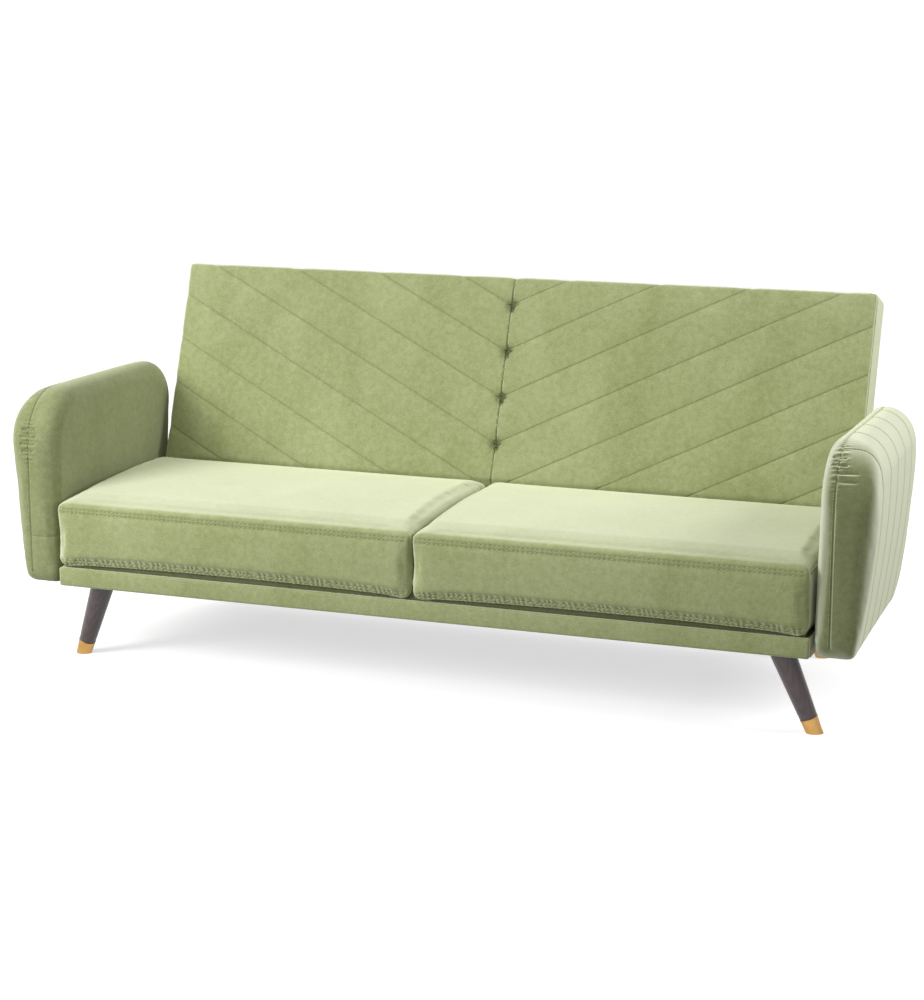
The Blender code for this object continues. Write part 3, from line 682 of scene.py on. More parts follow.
# %% Crown and corners
def underside(across):
    """How far the front's lower edge stands up: an arch in the middle and tucked corners."""
    corner = max(0.0, abs(across) - 0.955) / 0.045
    return BOTTOM_ARCH * (1 - across ** 2) + CORNER_LIFT * corner ** 2


def rolled(distance, radius):
    """How far a rolled edge lies below the flat, at a distance from the side."""
    if distance >= radius:
        return 0.0
    return radius - math.sqrt(radius ** 2 - (radius - max(distance, 0.0)) ** 2)


def crown(piece, low, high, rolls):
    """Crowns the top from front to rear, rolls its two sides and arches the front's lower edge."""
    middle, half = (low + high) / 2, (high - low) / 2
    for point in piece.data.vertices:
        across = (point.co.x - middle.x) / half.x
        along = (point.co.y - middle.y) / half.y
        up = share_of(point.co.z, low.z, high.z - FRONT_DROP)
        dome = (1 - min(1.0, abs(along)) ** 2.2) * (1 - 0.15 * across ** 4)
        roll = 0.3 * sum(rolled(distance, radius) for distance, radius in
                          ((point.co.x - low.x, rolls[0]), (high.x - point.co.x, rolls[1])))
        point.co.z += (CROWN_RISE * dome - roll) * up ** 2
        if along < -0.85:
            point.co.z += underside(across) * max(0.0, 1 - up / 0.35)
    return piece


print("crowning ready")


# %% Both seat cushions
FAR = 0.2


def top_row(skin, low, high, height):
    """One stitched row under the top edge: up the two sides and across the front."""
    lines = []
    for sign, x_out in ((-1, low.x - FAR), (1, high.x + FAR)):
        side_line = spread(Vector((x_out, high.y - 40 * MM, height + 14 * MM)),
                           Vector((x_out, low.y + 22 * MM, height)), GUIDE_STEP)
        lines.append(trace(skin, side_line, Vector((-sign, 0, 0))))
    front_line = spread(Vector((low.x + 12 * MM, low.y - FAR, height)),
                        Vector((high.x - 12 * MM, low.y - FAR, height)), GUIDE_STEP)
    lines.append(trace(skin, front_line, Vector((0, 1, 0))))
    return lines


def bottom_row(skin, low, high, height):
    """One stitched row along the bottom of the front, which turns up at the corners."""
    guide = spread(Vector((low.x + 14 * MM, low.y - FAR, height)),
                   Vector((high.x - 14 * MM, low.y - FAR, height)), GUIDE_STEP)
    middle, half = (low.x + high.x) / 2, (high.x - low.x) / 2
    for start in guide:
        start.z += underside((start.x - middle) / half)
    return trace(skin, guide, Vector((0, 1, 0)))


def seat_cushion(side):
    node_name = f"{side}_seat_cushion"
    low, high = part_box(node_name)
    top = low.z + CUSHION_REAR_HEIGHT
    start_low = low + Vector((0, 4 * MM, 1 * MM))
    start_high = Vector((high.x, high.y - 1 * MM, top - 1 * MM))
    rolls = (OUTER_ROLL, INNER_ROLL) if side == "left" else (INNER_ROLL, OUTER_ROLL)
    piece = seat_block(f"{side}_seat_cushion_cover", start_low, start_high, FRONT_DROP)
    modify(piece, "BEVEL", width=9 * MM, segments=3, limit_method="ANGLE", angle_limit=0.9)
    even_squares(piece, SQUARE)
    crown(piece, start_low, start_high, rolls)
    edge = Vector((start_low.y, start_high.z - FRONT_DROP))
    stuff(piece, 5 * MM, lambda place: 0.1 + 0.9 * share_of(
        (Vector((place.y, place.z)) - edge).length, 12 * MM, 75 * MM))
    hold_inside(piece, low - Vector((0, 3 * MM, 0)), high + Vector((0, 5 * MM, 6 * MM)))
    skin, front_top = skin_of(piece), top - FRONT_DROP
    tops = [line for drop in TOP_ROWS for line in top_row(skin, low, high, front_top - drop)]
    bottoms = [bottom_row(skin, low, high, low.z + rise) for rise in BOTTOM_ROWS]
    split_near(piece, tops + bottoms, 16 * MM)
    split_near(piece, tops + bottoms, 6 * MM)
    sew_down(piece, tops, 1.4 * MM, 1.8 * MM, hollow=1.0 * MM, hollow_width=9 * MM,
             gather=0.3 * MM, gather_pitch=23 * MM, gather_reach=9 * MM, shade=0.85,
             where=lambda place: 1 - share_of(place.y, low.y + 5 * MM, low.y + 25 * MM))
    sew_down(piece, bottoms, 1.4 * MM, 1.8 * MM, hollow=1.2 * MM, hollow_width=8 * MM,
             gather=1.0 * MM, gather_pitch=15 * MM, gather_reach=9 * MM, shade=0.8)
    dress(piece, VELVET, "velvet", "seat", node_name)
    stitch(f"{side}_seat_cushion_stitches", tops + bottoms, 11 * MM, 8 * MM, 1.5 * MM, "seat")
    print(piece.name, len(piece.data.polygons), "faces")
    return piece


for side in ("left", "right"):
    seat_cushion(side)

# %% [markdown]
# ## The backrest
# One long pad carries the pattern that makes this sofa: a centre seam with channels that rise from
# it to both sides like the veins of a leaf. Four of the crossings are tied through to the frame,
# which pulls small dimples. The pad is made upright, because a remesh lays its squares along the
# world's axes and a leaning face would come out in steps. It is leaned back only at the end.

# %% Where the backrest leans
HINGE = Vector(next(joint for joint in frame["joints"] if joint["name"] == "back_recline")["pos_m"])
LEAN = math.radians(19.4)
LEAN_BACK = Matrix.Translation(HINGE) @ Matrix.Rotation(-LEAN, 4, "X")
STAND_UP = LEAN_BACK.inverted()


def upright_box(node_name):
    """A node's lowest and highest corners, measured as if the backrest stood upright."""
    corners = [STAND_UP @ point.co for point in frame["nodes"][node_name].data.vertices]
    low = Vector([min(corner[axis] for corner in corners) for axis in range(3)])
    high = Vector([max(corner[axis] for corner in corners) for axis in range(3)])
    return low, high


PAD_LOW, PAD_HIGH = upright_box("back_pad")
print("the pad is", [round(c, 3) for c in PAD_HIGH - PAD_LOW], "standing up")

# %% The chevron lines
CHEVRON_TOP = 0.454
CHEVRON_STEP = 0.1148
CHEVRON_SLOPE = 0.508
CHEVRONS = 8
TIED = 4


def chevron_lines(skin):
    """Channel lines that rise from the centre to both sides, cut off at the pad's edges."""
    lines = []
    front = PAD_LOW.y - FAR
    for rank in range(CHEVRONS):
        middle = CHEVRON_TOP - rank * CHEVRON_STEP
        for sign in (-1, 1):
            begin = max(0.0, (PAD_LOW.z + 4 * MM - middle) / CHEVRON_SLOPE)
            end = min(PAD_HIGH.x - 3 * MM, (PAD_HIGH.z - 3 * MM - middle) / CHEVRON_SLOPE)
            if end <= begin:
                continue
            guide = spread(Vector((sign * begin, front, middle + CHEVRON_SLOPE * begin)),
                           Vector((sign * end, front, middle + CHEVRON_SLOPE * end)), GUIDE_STEP)
            lines.append(trace(skin, guide, Vector((0, 1, 0))))
    return [line for line in lines if len(line) > 4]


def centre_lines(skin):
    """The upright seam down the front, and its end over the top."""
    front = PAD_LOW.y - FAR
    down = spread(Vector((0, front, PAD_HIGH.z - 4 * MM)), Vector((0, front, PAD_LOW.z + 4 * MM)),
                  GUIDE_STEP)
    over = spread(Vector((0, PAD_LOW.y + 6 * MM, PAD_HIGH.z + FAR)),
                  Vector((0, PAD_HIGH.y - 6 * MM, PAD_HIGH.z + FAR)), GUIDE_STEP)
    return [trace(skin, down, Vector((0, 1, 0))), trace(skin, over, Vector((0, 0, -1)))]


def boxing_lines(skin, depth):
    """A seam round the two sides and the top, at a depth behind the front face."""
    y = PAD_LOW.y + depth
    top = spread(Vector((PAD_LOW.x + 10 * MM, y, PAD_HIGH.z + FAR)),
                 Vector((PAD_HIGH.x - 10 * MM, y, PAD_HIGH.z + FAR)), GUIDE_STEP)
    lines = [trace(skin, top, Vector((0, 0, -1)))]
    for sign in (-1, 1):
        x = sign * (PAD_HIGH.x + FAR)
        side_line = spread(Vector((x, y, PAD_LOW.z + 8 * MM)), Vector((x, y, PAD_HIGH.z - 10 * MM)),
                           GUIDE_STEP)
        lines.append(trace(skin, side_line, Vector((-sign, 0, 0))))
    return lines


print("chevrons:", CHEVRONS, "lines a side,", CHEVRON_STEP, "apart on the centre seam")


# %% Tied dimples
def tie_down(piece, places, depth, radius):
    """Pulls a soft round dimple at each place, with short creases that run out of it."""
    marks = piece.data.attributes["crease"]
    for point in piece.data.vertices:
        if point.normal.y > -0.5:
            continue
        for place in places:
            away = Vector((point.co.x - place.x, 0, point.co.z - place.z))
            distance = away.length
            if distance > 4 * radius:
                continue
            angle = math.atan2(away.z, abs(away.x) + 1e-6)
            crease = 0.5 + 0.5 * math.cos(4 * (angle - math.atan(CHEVRON_SLOPE)))
            spread_out = radius * (0.9 + 0.25 * crease)
            fade = math.exp(-((distance / spread_out) ** 1.6))
            point.co.y += depth * fade
            # the crease value darkens the velvet's colour: painted shade in the dimple
            marks.data[point.index].value = max(marks.data[point.index].value, 0.55 * fade)
    return piece


print("ties:", TIED)


# %% The back pad
def back_pad():
    start_low = PAD_LOW + Vector((-2 * MM, 2 * MM, 2 * MM))
    start_high = PAD_HIGH - Vector((-2 * MM, 2 * MM, -1 * MM))
    piece = primitive("back_cushion_cover", bpy.ops.mesh.primitive_cube_add, size=1,
                      location=(start_low + start_high) / 2, scale=start_high - start_low)
    modify(piece, "BEVEL", width=9 * MM, segments=3)
    even_squares(piece, SQUARE)
    stuff(piece, 6 * MM, lambda place: 0.1 + 0.9 * share_of(
        min(PAD_HIGH.x - abs(place.x), PAD_HIGH.z - place.z), 12 * MM, 80 * MM))
    hold_inside(piece, PAD_LOW - Vector((4 * MM, 4 * MM, 0)),
                Vector((PAD_HIGH.x + 4 * MM, PAD_HIGH.y - 5 * MM, PAD_HIGH.z + 4 * MM)))
    skin = skin_of(piece)
    channels = chevron_lines(skin)
    centre = centre_lines(skin)
    boxing = boxing_lines(skin, 15 * MM)
    every = channels + centre + boxing
    ties = [Vector((0, 0, CHEVRON_TOP - rank * CHEVRON_STEP)) for rank in range(TIED)]
    tied = [[(place + Vector((0, PAD_LOW.y, 0)), None)] for place in ties]
    split_near(piece, tied, 45 * MM)
    split_near(piece, every, 11 * MM)
    split_near(piece, every, 4.5 * MM)
    sew_down(piece, channels, 2.2 * MM, 1.8 * MM, hollow=2.0 * MM, hollow_width=14 * MM,
             gather=0.3 * MM, gather_pitch=17 * MM, gather_reach=9 * MM, shade=1.0,
             ease=lambda place: 0.4 + 0.6 * share_of(abs(place.x), 4 * MM, 26 * MM))
    sew_down(piece, centre, 3.4 * MM, 2.2 * MM, hollow=2.5 * MM, hollow_width=14 * MM,
             gather=0.5 * MM, gather_pitch=19 * MM, gather_reach=9 * MM)
    sew_down(piece, boxing, 1.4 * MM, 1.8 * MM, hollow=0.8 * MM, hollow_width=8 * MM,
             gather=0.2 * MM, gather_pitch=16 * MM, gather_reach=8 * MM, shade=0.4)
    tie_down(piece, ties, 10 * MM, 18 * MM)
    skin = skin_of(piece)
    stitches = [trace(skin, [place - Vector((0, FAR, 0)) for place, _ in line], Vector((0, 1, 0)))
                for line in channels + centre[:1]]
    piece.data.transform(LEAN_BACK)
    sewn = [[(LEAN_BACK @ place, (LEAN_BACK.to_3x3() @ normal)) for place, normal in line]
            for line in stitches + boxing]
    dress(piece, VELVET, "velvet", "backrest", "back_pad")
    stitch("back_cushion_stitches", sewn, 6.5 * MM, 4.6 * MM, 1.0 * MM, "backrest", sunk=0.5)
    print(piece.name, len(piece.data.polygons), "faces")
    return piece


back_pad()

# %% [markdown]
# ## The back's rear panel
# The rear of the backrest is a flat panel of the same velvet, stretched over a thin layer of
# wadding and stapled round its edge. A seam down the middle joins its two halves. A plain sheet
# would look like card, so it keeps a soft rounded border and a little swell.


# %% Rear panel
def rear_panel():
    low, high = upright_box("back_rear_cover")
    piece = primitive("back_rear_panel", bpy.ops.mesh.primitive_cube_add, size=1,
                      location=(low + high) / 2, scale=(high.x - low.x, 6 * MM, high.z - low.z))
    choose(piece, points=lambda place: True)
    bpy.ops.mesh.subdivide(number_cuts=3)
    bpy.ops.object.mode_set(mode="OBJECT")
    modify(piece, "BEVEL", width=2.6 * MM, segments=3, limit_method="ANGLE", angle_limit=0.9)
    for _ in range(5):
        choose(piece, faces=lambda face: face.normal.y > 0.9 and face.area > 1e-4)
        bpy.ops.mesh.subdivide(number_cuts=1)
        bpy.ops.object.mode_set(mode="OBJECT")
    middle, half = (low + high) / 2, (high - low) / 2
    for point in piece.data.vertices:
        across = (point.co.x - middle.x) / half.x
        up = (point.co.z - middle.z) / half.z
        if point.co.y > middle.y:
            swell = max(0.0, 1 - across ** 8) * max(0.0, 1 - up ** 4)
            point.co.y += 3.5 * MM * swell + 0.5 * MM * noise.noise(point.co * 9.0)
    seam = trace(skin_of(piece), spread(Vector((0, high.y + FAR, low.z + 6 * MM)),
                               Vector((0, high.y + FAR, high.z - 6 * MM)), GUIDE_STEP),
                 Vector((0, -1, 0)))
    split_near(piece, [seam], 8 * MM)
    sew_down(piece, [seam], 1.6 * MM, 2.4 * MM, hollow=1.2 * MM, hollow_width=10 * MM)
    piece.data.transform(LEAN_BACK)
    dress(piece, VELVET, "velvet", "backrest", "back_rear_cover")
    sewn = [(LEAN_BACK @ place, LEAN_BACK.to_3x3() @ normal) for place, normal in seam]
    stitch("back_rear_stitches", [sewn], 6.5 * MM, 4.6 * MM, 1.1 * MM, "backrest", sunk=0.5)
    return piece


rear_panel()

# %% [markdown]
# ## The arms
# Seen from the side an arm is a rounded rectangle with big arcs on top; seen from the front it
# leans out and swells. Both come from one side outline that is extruded ring by ring: the first
# rings round its inner edge, the last ones its outer edge. The outer face is then trued to the
# swelling width, so that it is a smooth curve and not a fan of triangles.

# %% The arm's outline
ARM_LOW, ARM_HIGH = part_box("right_arm_pad")
ARM_REAR = ARM_HIGH.y + 0.001
TOE_ARC, HEEL_ARC, REAR_ARC, FRONT_ARC = 0.025, 0.055, 0.105, 0.130
REAR_LEAN = 0.045
WIDTH_BOTTOM, WIDTH_TOP = 0.073, 0.111
WIDEST = 0.74
FRONT_FLARE, REAR_TAPER = 0.014, 0.006
INNER_ROUND, FRONT_ROUND, TOP_ROUND, UNDER_ROUND = 0.038, 0.036, 0.075, 0.015


def arc(centre, radius, start, end, steps):
    """Points on an arc in the (y, z) plane, by angles in degrees."""
    angles = [math.radians(start + (end - start) * step / steps) for step in range(steps + 1)]
    return [Vector((centre[0] + radius * math.cos(angle), centre[1] + radius * math.sin(angle)))
            for angle in angles]


TOE_STEPS, HEEL_STEPS, TOP_STEPS = 6, 8, 12


def arm_outline():
    front, low, rear, high = ARM_LOW.y, ARM_LOW.z, ARM_REAR, ARM_HIGH.z
    return [
        *arc((front + TOE_ARC, low + TOE_ARC), TOE_ARC, 180, 270, TOE_STEPS),
        *arc((rear - REAR_LEAN - HEEL_ARC, low + HEEL_ARC), HEEL_ARC, 270, 352, HEEL_STEPS),
        *arc((rear - REAR_ARC, high - REAR_ARC), REAR_ARC, -8, 90, TOP_STEPS),
        *arc((front + FRONT_ARC, high - FRONT_ARC), FRONT_ARC, 90, 180, TOP_STEPS),
    ]


print("arm outline has", len(arm_outline()), "points")


# %% The arm's swell and edges
def arm_width(y, z):
    """How far the outer face stands from the inner one, at a place on the arm's side."""
    height = ARM_HIGH.z - ARM_LOW.z
    rise = share_of(z, ARM_LOW.z, ARM_LOW.z + WIDEST * height)
    lean = WIDTH_BOTTOM + (WIDTH_TOP - WIDTH_BOTTOM) * (1 - (1 - rise) ** 1.6)
    back = share_of(y, ARM_LOW.y, ARM_REAR)
    return lean + FRONT_FLARE * (1 - back) - REAR_TAPER * back


def arm_edge(y, z, front, top):
    """The edge's radius: one up the front, one over the top, small underneath."""
    behind = share_of(y, ARM_LOW.y + 0.02, ARM_LOW.y + 0.12)
    upper = share_of(z, ARM_LOW.z + 0.06, ARM_LOW.z + 0.5 * (ARM_HIGH.z - ARM_LOW.z))
    return UNDER_ROUND + (front + (top - front) * behind - UNDER_ROUND) * upper


def arm_ring(outline, inset, reach):
    """The outline drawn in by inset, at the distance reach from the inner face."""
    ring = []
    for index, place in enumerate(outline):
        ahead = (outline[(index + 1) % len(outline)] - outline[index - 1]).normalized()
        inward = Vector((-ahead.y, ahead.x)) * inset(place.x, place.y)
        ring.append(Vector((reach(place.x, place.y), place.x + inward.x, place.y + inward.y)))
    return ring


def arm_rings(outline, turns=6):
    """Sections of the arm from its inner face to its outer one."""
    rings = []
    for step in range(turns + 1):
        short = 1 - math.sin(math.pi / 2 * step / turns)
        deep = 1 - math.cos(math.pi / 2 * step / turns)
        rings.append(arm_ring(
            outline, lambda y, z, s=short: arm_edge(y, z, INNER_ROUND, INNER_ROUND) * s,
            lambda y, z, d=deep: arm_edge(y, z, INNER_ROUND, INNER_ROUND) * d))
    for step in range(turns + 1):
        short = 1 - math.sin(math.pi / 2 * step / turns)
        deep = 1 - math.cos(math.pi / 2 * step / turns)
        rings.append(arm_ring(
            outline, lambda y, z, d=deep: arm_edge(y, z, FRONT_ROUND, TOP_ROUND) * d,
            lambda y, z, s=short: arm_width(y, z) - arm_edge(y, z, FRONT_ROUND, TOP_ROUND) * s))
    return rings


print("arm width at the crest:", round(arm_width(0, ARM_HIGH.z), 3))


# %% An arm, ring by ring
def arm_block(name):
    """Extrudes the outline from ring to ring. Each new ring is told apart by its selection."""
    rings = arm_rings(arm_outline())
    count = len(rings[0])
    piece = primitive(name, bpy.ops.mesh.primitive_circle_add, vertices=count, radius=0.2,
                      fill_type="NGON")
    for point, place in zip(piece.data.vertices, rings[0]):
        point.co = place
    for before, ring in zip(rings, rings[1:]):
        choose(piece, points=lambda place, now=before: any((place - q).length < 1e-7 for q in now))
        bpy.ops.mesh.select_mode(type="FACE")
        bpy.ops.mesh.extrude_region_move()
        bpy.ops.object.mode_set(mode="OBJECT")
        for point in [made for made in piece.data.vertices if made.select]:
            nearest = min(range(count), key=lambda index: (point.co - before[index]).length)
            point.co = ring[nearest]
    choose(piece, points=lambda place: True)
    bpy.ops.mesh.normals_make_consistent(inside=False)
    bpy.ops.object.mode_set(mode="OBJECT")
    return piece


print("arm block ready")


# %% True the outer face
def edge_distance(outline, place):
    """How far a place on the arm's side lies from the outline."""
    nearest = 1.0
    for first, second in zip(outline, outline[1:] + outline[:1]):
        run = second - first
        if run.length < 1e-9:
            continue
        share = min(max((place - first).dot(run) / run.length_squared, 0.0), 1.0)
        nearest = min(nearest, (place - first - run * share).length)
    return nearest


def true_outer_face(piece):
    """Sets every point of the outer side onto the swelling width and its rounded edge."""
    outline = arm_outline()
    normals = [point.normal.x for point in piece.data.vertices]
    for point, facing in zip(piece.data.vertices, normals):
        if facing < 0.25 or point.co.x < 0.04:
            continue
        place = Vector((point.co.y, point.co.z))
        radius = arm_edge(place.x, place.y, FRONT_ROUND, TOP_ROUND)
        drop = rolled(edge_distance(outline, place), radius)
        point.co.x = arm_width(place.x, place.y) - drop
    return piece


print("truing ready")


# %% The arm's seams
CHANNEL_FIRST = 0.066
CHANNEL_STEP = 0.100
CHANNELS = 5
SEAM_AT = {"left": 0.068, "right": 0.036}


def perimeter_line(skin, across):
    """A seam round the front, top and rear of the arm at a distance from its inner face."""
    outline = arm_outline()
    outline = outline[TOE_STEPS + HEEL_STEPS:] + outline[:1]
    guide, aims = [], []
    for first, second in zip(outline, outline[1:]):
        for place in spread(first, second, GUIDE_STEP)[:-1]:
            ahead = (second - first).normalized()
            outward = Vector((0, ahead.y, -ahead.x))
            start = Vector((across, place.x, place.y)) + outward * 0.05
            guide.append(start)
            aims.append(-outward)
    return trace(skin, guide, aims)


def channel_line(skin, y, seam):
    """A channel up the outer side and over the top to the perimeter seam."""
    guide, aims = [], []
    low, high = ARM_LOW.z + 6 * MM, ARM_HIGH.z - TOP_ROUND
    for start in spread(Vector((0.3, y, low)), Vector((0.3, y, high)), GUIDE_STEP):
        guide.append(start)
        aims.append(Vector((-1, 0, 0)))
    for step in range(1, 60):
        angle = math.pi / 2 * step / 59
        aim = Vector((-math.cos(angle), 0, -math.sin(angle)))
        target = Vector((arm_width(y, high) - TOP_ROUND, y, high))
        guide.append(target - aim * 0.3)
        aims.append(aim)
    over = spread(Vector((arm_width(y, high) - TOP_ROUND, y, ARM_HIGH.z + FAR)),
                  Vector((seam + 2 * MM, y, ARM_HIGH.z + FAR)), GUIDE_STEP)
    for start in over[1:]:
        guide.append(start)
        aims.append(Vector((0, 0, -1)))
    return [hit for hit in trace(skin, guide, aims) if hit[0].x > seam + 1.5 * MM]


print("channels:", CHANNELS, "per arm,", CHANNEL_STEP, "apart")


# %% Both arms
FOLDS = {"left": ((0.560, -14, 16), (0.543, -17, 21), (0.526, -15, 20), (0.509, -11, 15)),
         "right": ((0.591, 1, 44), (0.574, 1, 42), (0.606, -12, 17), (0.619, -14, 12))}
GATHERS = {"left": (0.480, 0.580), "right": (0.555, 0.645)}
FOLD_REACH = 0.050
JOIN_HEIGHT = 0.305


def fold_lines(skin, side):
    """Short deep folds that cross the seam where it starts to turn over the top."""
    lines = []
    for height, start, end in FOLDS[side]:
        guide = spread(Vector((SEAM_AT[side] + start * MM, ARM_LOW.y - FAR, height)),
                       Vector((SEAM_AT[side] + end * MM, ARM_LOW.y - FAR, height)), GUIDE_STEP)
        lines.append(trace(skin, guide, Vector((0, 1, 0))))
    return lines


def gathers_of(side):
    """Gathers are strongest on the front, in the stretch where the seam begins to turn over."""
    low, high = GATHERS[side]

    def share(place):
        front = 1 - share_of(place.y, ARM_LOW.y + 0.06, ARM_LOW.y + 0.12)
        rising = share_of(place.z, low - 0.02, low + 0.02)
        falling = 1 - share_of(place.z, high - 0.01, high + 0.03)
        return 0.08 + 0.92 * front * rising * falling

    return share


def arm(side):
    sign = -1 if side == "left" else 1
    piece = arm_block(f"{side}_arm_cover")
    even_squares(piece, SQUARE)
    true_outer_face(piece)
    modify(piece, "SMOOTH", factor=0.5, iterations=3)
    stuff(piece, 2.5 * MM, lambda place: 1.0, pressure=3.0, frames=8)
    skin = skin_of(piece)
    seam = [perimeter_line(skin, SEAM_AT[side])]
    channels = [channel_line(skin, ARM_LOW.y + CHANNEL_FIRST + rank * CHANNEL_STEP, SEAM_AT[side])
                for rank in range(CHANNELS)]
    folds = fold_lines(skin, side)
    join = []
    if side == "left":
        across = spread(Vector((6 * MM, ARM_LOW.y - FAR, JOIN_HEIGHT)),
                        Vector((SEAM_AT[side], ARM_LOW.y - FAR, JOIN_HEIGHT)), GUIDE_STEP)
        join = [trace(skin, across, Vector((0, 1, 0)))]
    every = seam + channels + folds + join
    split_near(piece, every, 13 * MM)
    split_near(piece, every, 5 * MM)
    sew_down(piece, channels, 1.5 * MM, 1.5 * MM, hollow=1.0 * MM, hollow_width=13 * MM, shade=0.75)
    sew_down(piece, seam, 2.2 * MM, 1.9 * MM, hollow=1.4 * MM, hollow_width=9 * MM,
             gather=2.2 * MM, gather_pitch=12 * MM, gather_reach=13 * MM, where=gathers_of(side),
             shade=0.8)
    sew_down(piece, folds, 4.6 * MM, 2.8 * MM, hollow=1.2 * MM, hollow_width=7 * MM, shade=1.0,
             ease=lambda place: max(0.0, 1 - (abs(place.x - SEAM_AT[side]) / FOLD_REACH) ** 2),
             lip=1.8 * MM)
    if join:
        sew_down(piece, join, 1.4 * MM, 1.6 * MM, hollow=0.6 * MM, hollow_width=7 * MM, shade=0.5)
    skin, doubled = skin_of(piece), []
    for offset in (-3.5 * MM, 3.5 * MM):
        doubled.append(perimeter_line(skin, SEAM_AT[side] + offset))
    put = Matrix.Translation((sign * ARM_LOW.x, 0, 0)) @ Matrix.Diagonal((sign, 1, 1, 1))
    piece.data.transform(put)
    if sign < 0:
        piece.data.flip_normals()
    hold = ARM_LOW.x
    for point in piece.data.vertices:
        point.co.x = sign * max(abs(point.co.x), hold)
    # each arm wears its own copy of the velvet, darkened with painted shade and given painted sheen to
    # suit how light falls on it
    dress(piece, VELVET_ARM_PAINTED_LIGHT[side], "velvet", "base", f"{side}_arm_pad")
    turn = put.to_3x3()
    laid = [[(put @ place, turn @ normal) for place, normal in line] for line in doubled + channels]
    stitch(f"{side}_arm_stitches", laid, 6.5 * MM, 4.6 * MM, 1.1 * MM, "base")
    print(piece.name, len(piece.data.polygons), "faces")
    return piece


for side in ("left", "right"):
    arm(side)

# %% [markdown]
# ## Rails in velvet
# The rail under the seat is a pine board in the same velvet over a thin felt. Its edges are soft,
# and the cloth is folded round the corners. Each stretch starts from its own board's size, gets
# rounded edges and a very slight swell, and is left smooth, because it is stretched tight.


# %% Rail covers
def rail_cover(side):
    node_name = f"{side}_rail_cover"
    low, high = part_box(node_name)
    piece = primitive(f"{side}_rail_wrap", bpy.ops.mesh.primitive_cube_add, size=1,
                      location=(low + high) / 2, scale=high - low)
    long_axis = 0 if side in ("front", "rear") else 1
    modify(piece, "BEVEL", width=min(6 * MM, 0.4 * min(high - low)), segments=4)
    for station in range(1, 24):
        choose(piece, points=lambda place: True)
        at = (low + high) / 2
        at[long_axis] = low[long_axis] + (high[long_axis] - low[long_axis]) * station / 24
        facing = Vector((1, 0, 0)) if long_axis == 0 else Vector((0, 1, 0))
        bpy.ops.mesh.bisect(plane_co=at, plane_no=facing)
        bpy.ops.object.mode_set(mode="OBJECT")
    for point in piece.data.vertices:
        wander = noise.noise(point.co * 5.0)
        if long_axis == 0 and abs(point.co.z - (low.z + high.z) / 2) < 0.3 * (high.z - low.z):
            point.co.y += (0.6 * wander) * MM
    dress(piece, VELVET, "velvet", "base", node_name)
    bpy.ops.object.shade_smooth_by_angle(angle=math.radians(50))
    return piece


for side in ("front", "rear", "left", "right"):
    rail_cover(side)
print("rails wrapped")

# %% [markdown]
# ## Legs and caps
# Each leg is a straight taper that stands at a slant, so its foot and its top are cut level. It is
# turned on its own axis: a short cylinder at the foot, extruded and widened to the top, then set
# on its slant and cut by two level planes. The brass cap is a sleeve with a rolled rim.

# %% The line of a leg
LEG_TOP_RADIUS, LEG_FOOT_RADIUS = 0.028, 0.018
LEG_HEIGHT = 0.19
CAP_HEIGHT = 0.030
LEG_SIDES = 64
LEG_TOPS = {"front": Vector((0.825, -0.3087, LEG_HEIGHT)), "rear": Vector((0.740, 0.2413, LEG_HEIGHT))}
LEG_SPLAY = {"front": (0.075, 0.024), "rear": (0.050, 0.072)}


def leg_line(place_name):
    """The leg's foot and top centres, which lie on the line of its bolt."""
    end = "front" if "front" in place_name else "rear"
    top, (outward, along) = LEG_TOPS[end].copy(), LEG_SPLAY[end]
    foot = top + Vector((outward, along, -LEG_HEIGHT))
    if "left" in place_name:
        top.x, foot.x = -top.x, -foot.x
    return foot, top


def turned_shape(name, stations, steps=LEG_SIDES):
    """A turning on the Z axis: a disc that is extruded and resized from station to station."""
    radius, height = stations[0]
    piece = primitive(name, bpy.ops.mesh.primitive_circle_add, vertices=steps, radius=radius,
                      location=(0, 0, height), fill_type="NGON")
    choose(piece, points=lambda place: True)
    for following, level in stations[1:]:
        bpy.ops.mesh.extrude_region_move(
            TRANSFORM_OT_translate={"value": (0, 0, level - height)})
        factor = following / radius
        bpy.ops.transform.resize(value=(factor, factor, 1))
        radius, height = following, level
    bpy.ops.mesh.select_all(action="SELECT")
    bpy.ops.mesh.normals_make_consistent(inside=False)
    bpy.ops.object.mode_set(mode="OBJECT")
    return piece


def cut_level(piece, height, keep_above):
    """Cuts the piece off level at a height, and closes the cut."""
    choose(piece, points=lambda place: True)
    bpy.ops.mesh.bisect(plane_co=(0, 0, height), plane_no=(0, 0, 1), use_fill=True,
                        clear_inner=keep_above, clear_outer=not keep_above)
    bpy.ops.object.mode_set(mode="OBJECT")
    return piece


print("legs taper from", 2 * LEG_TOP_RADIUS, "to", 2 * LEG_FOOT_RADIUS)


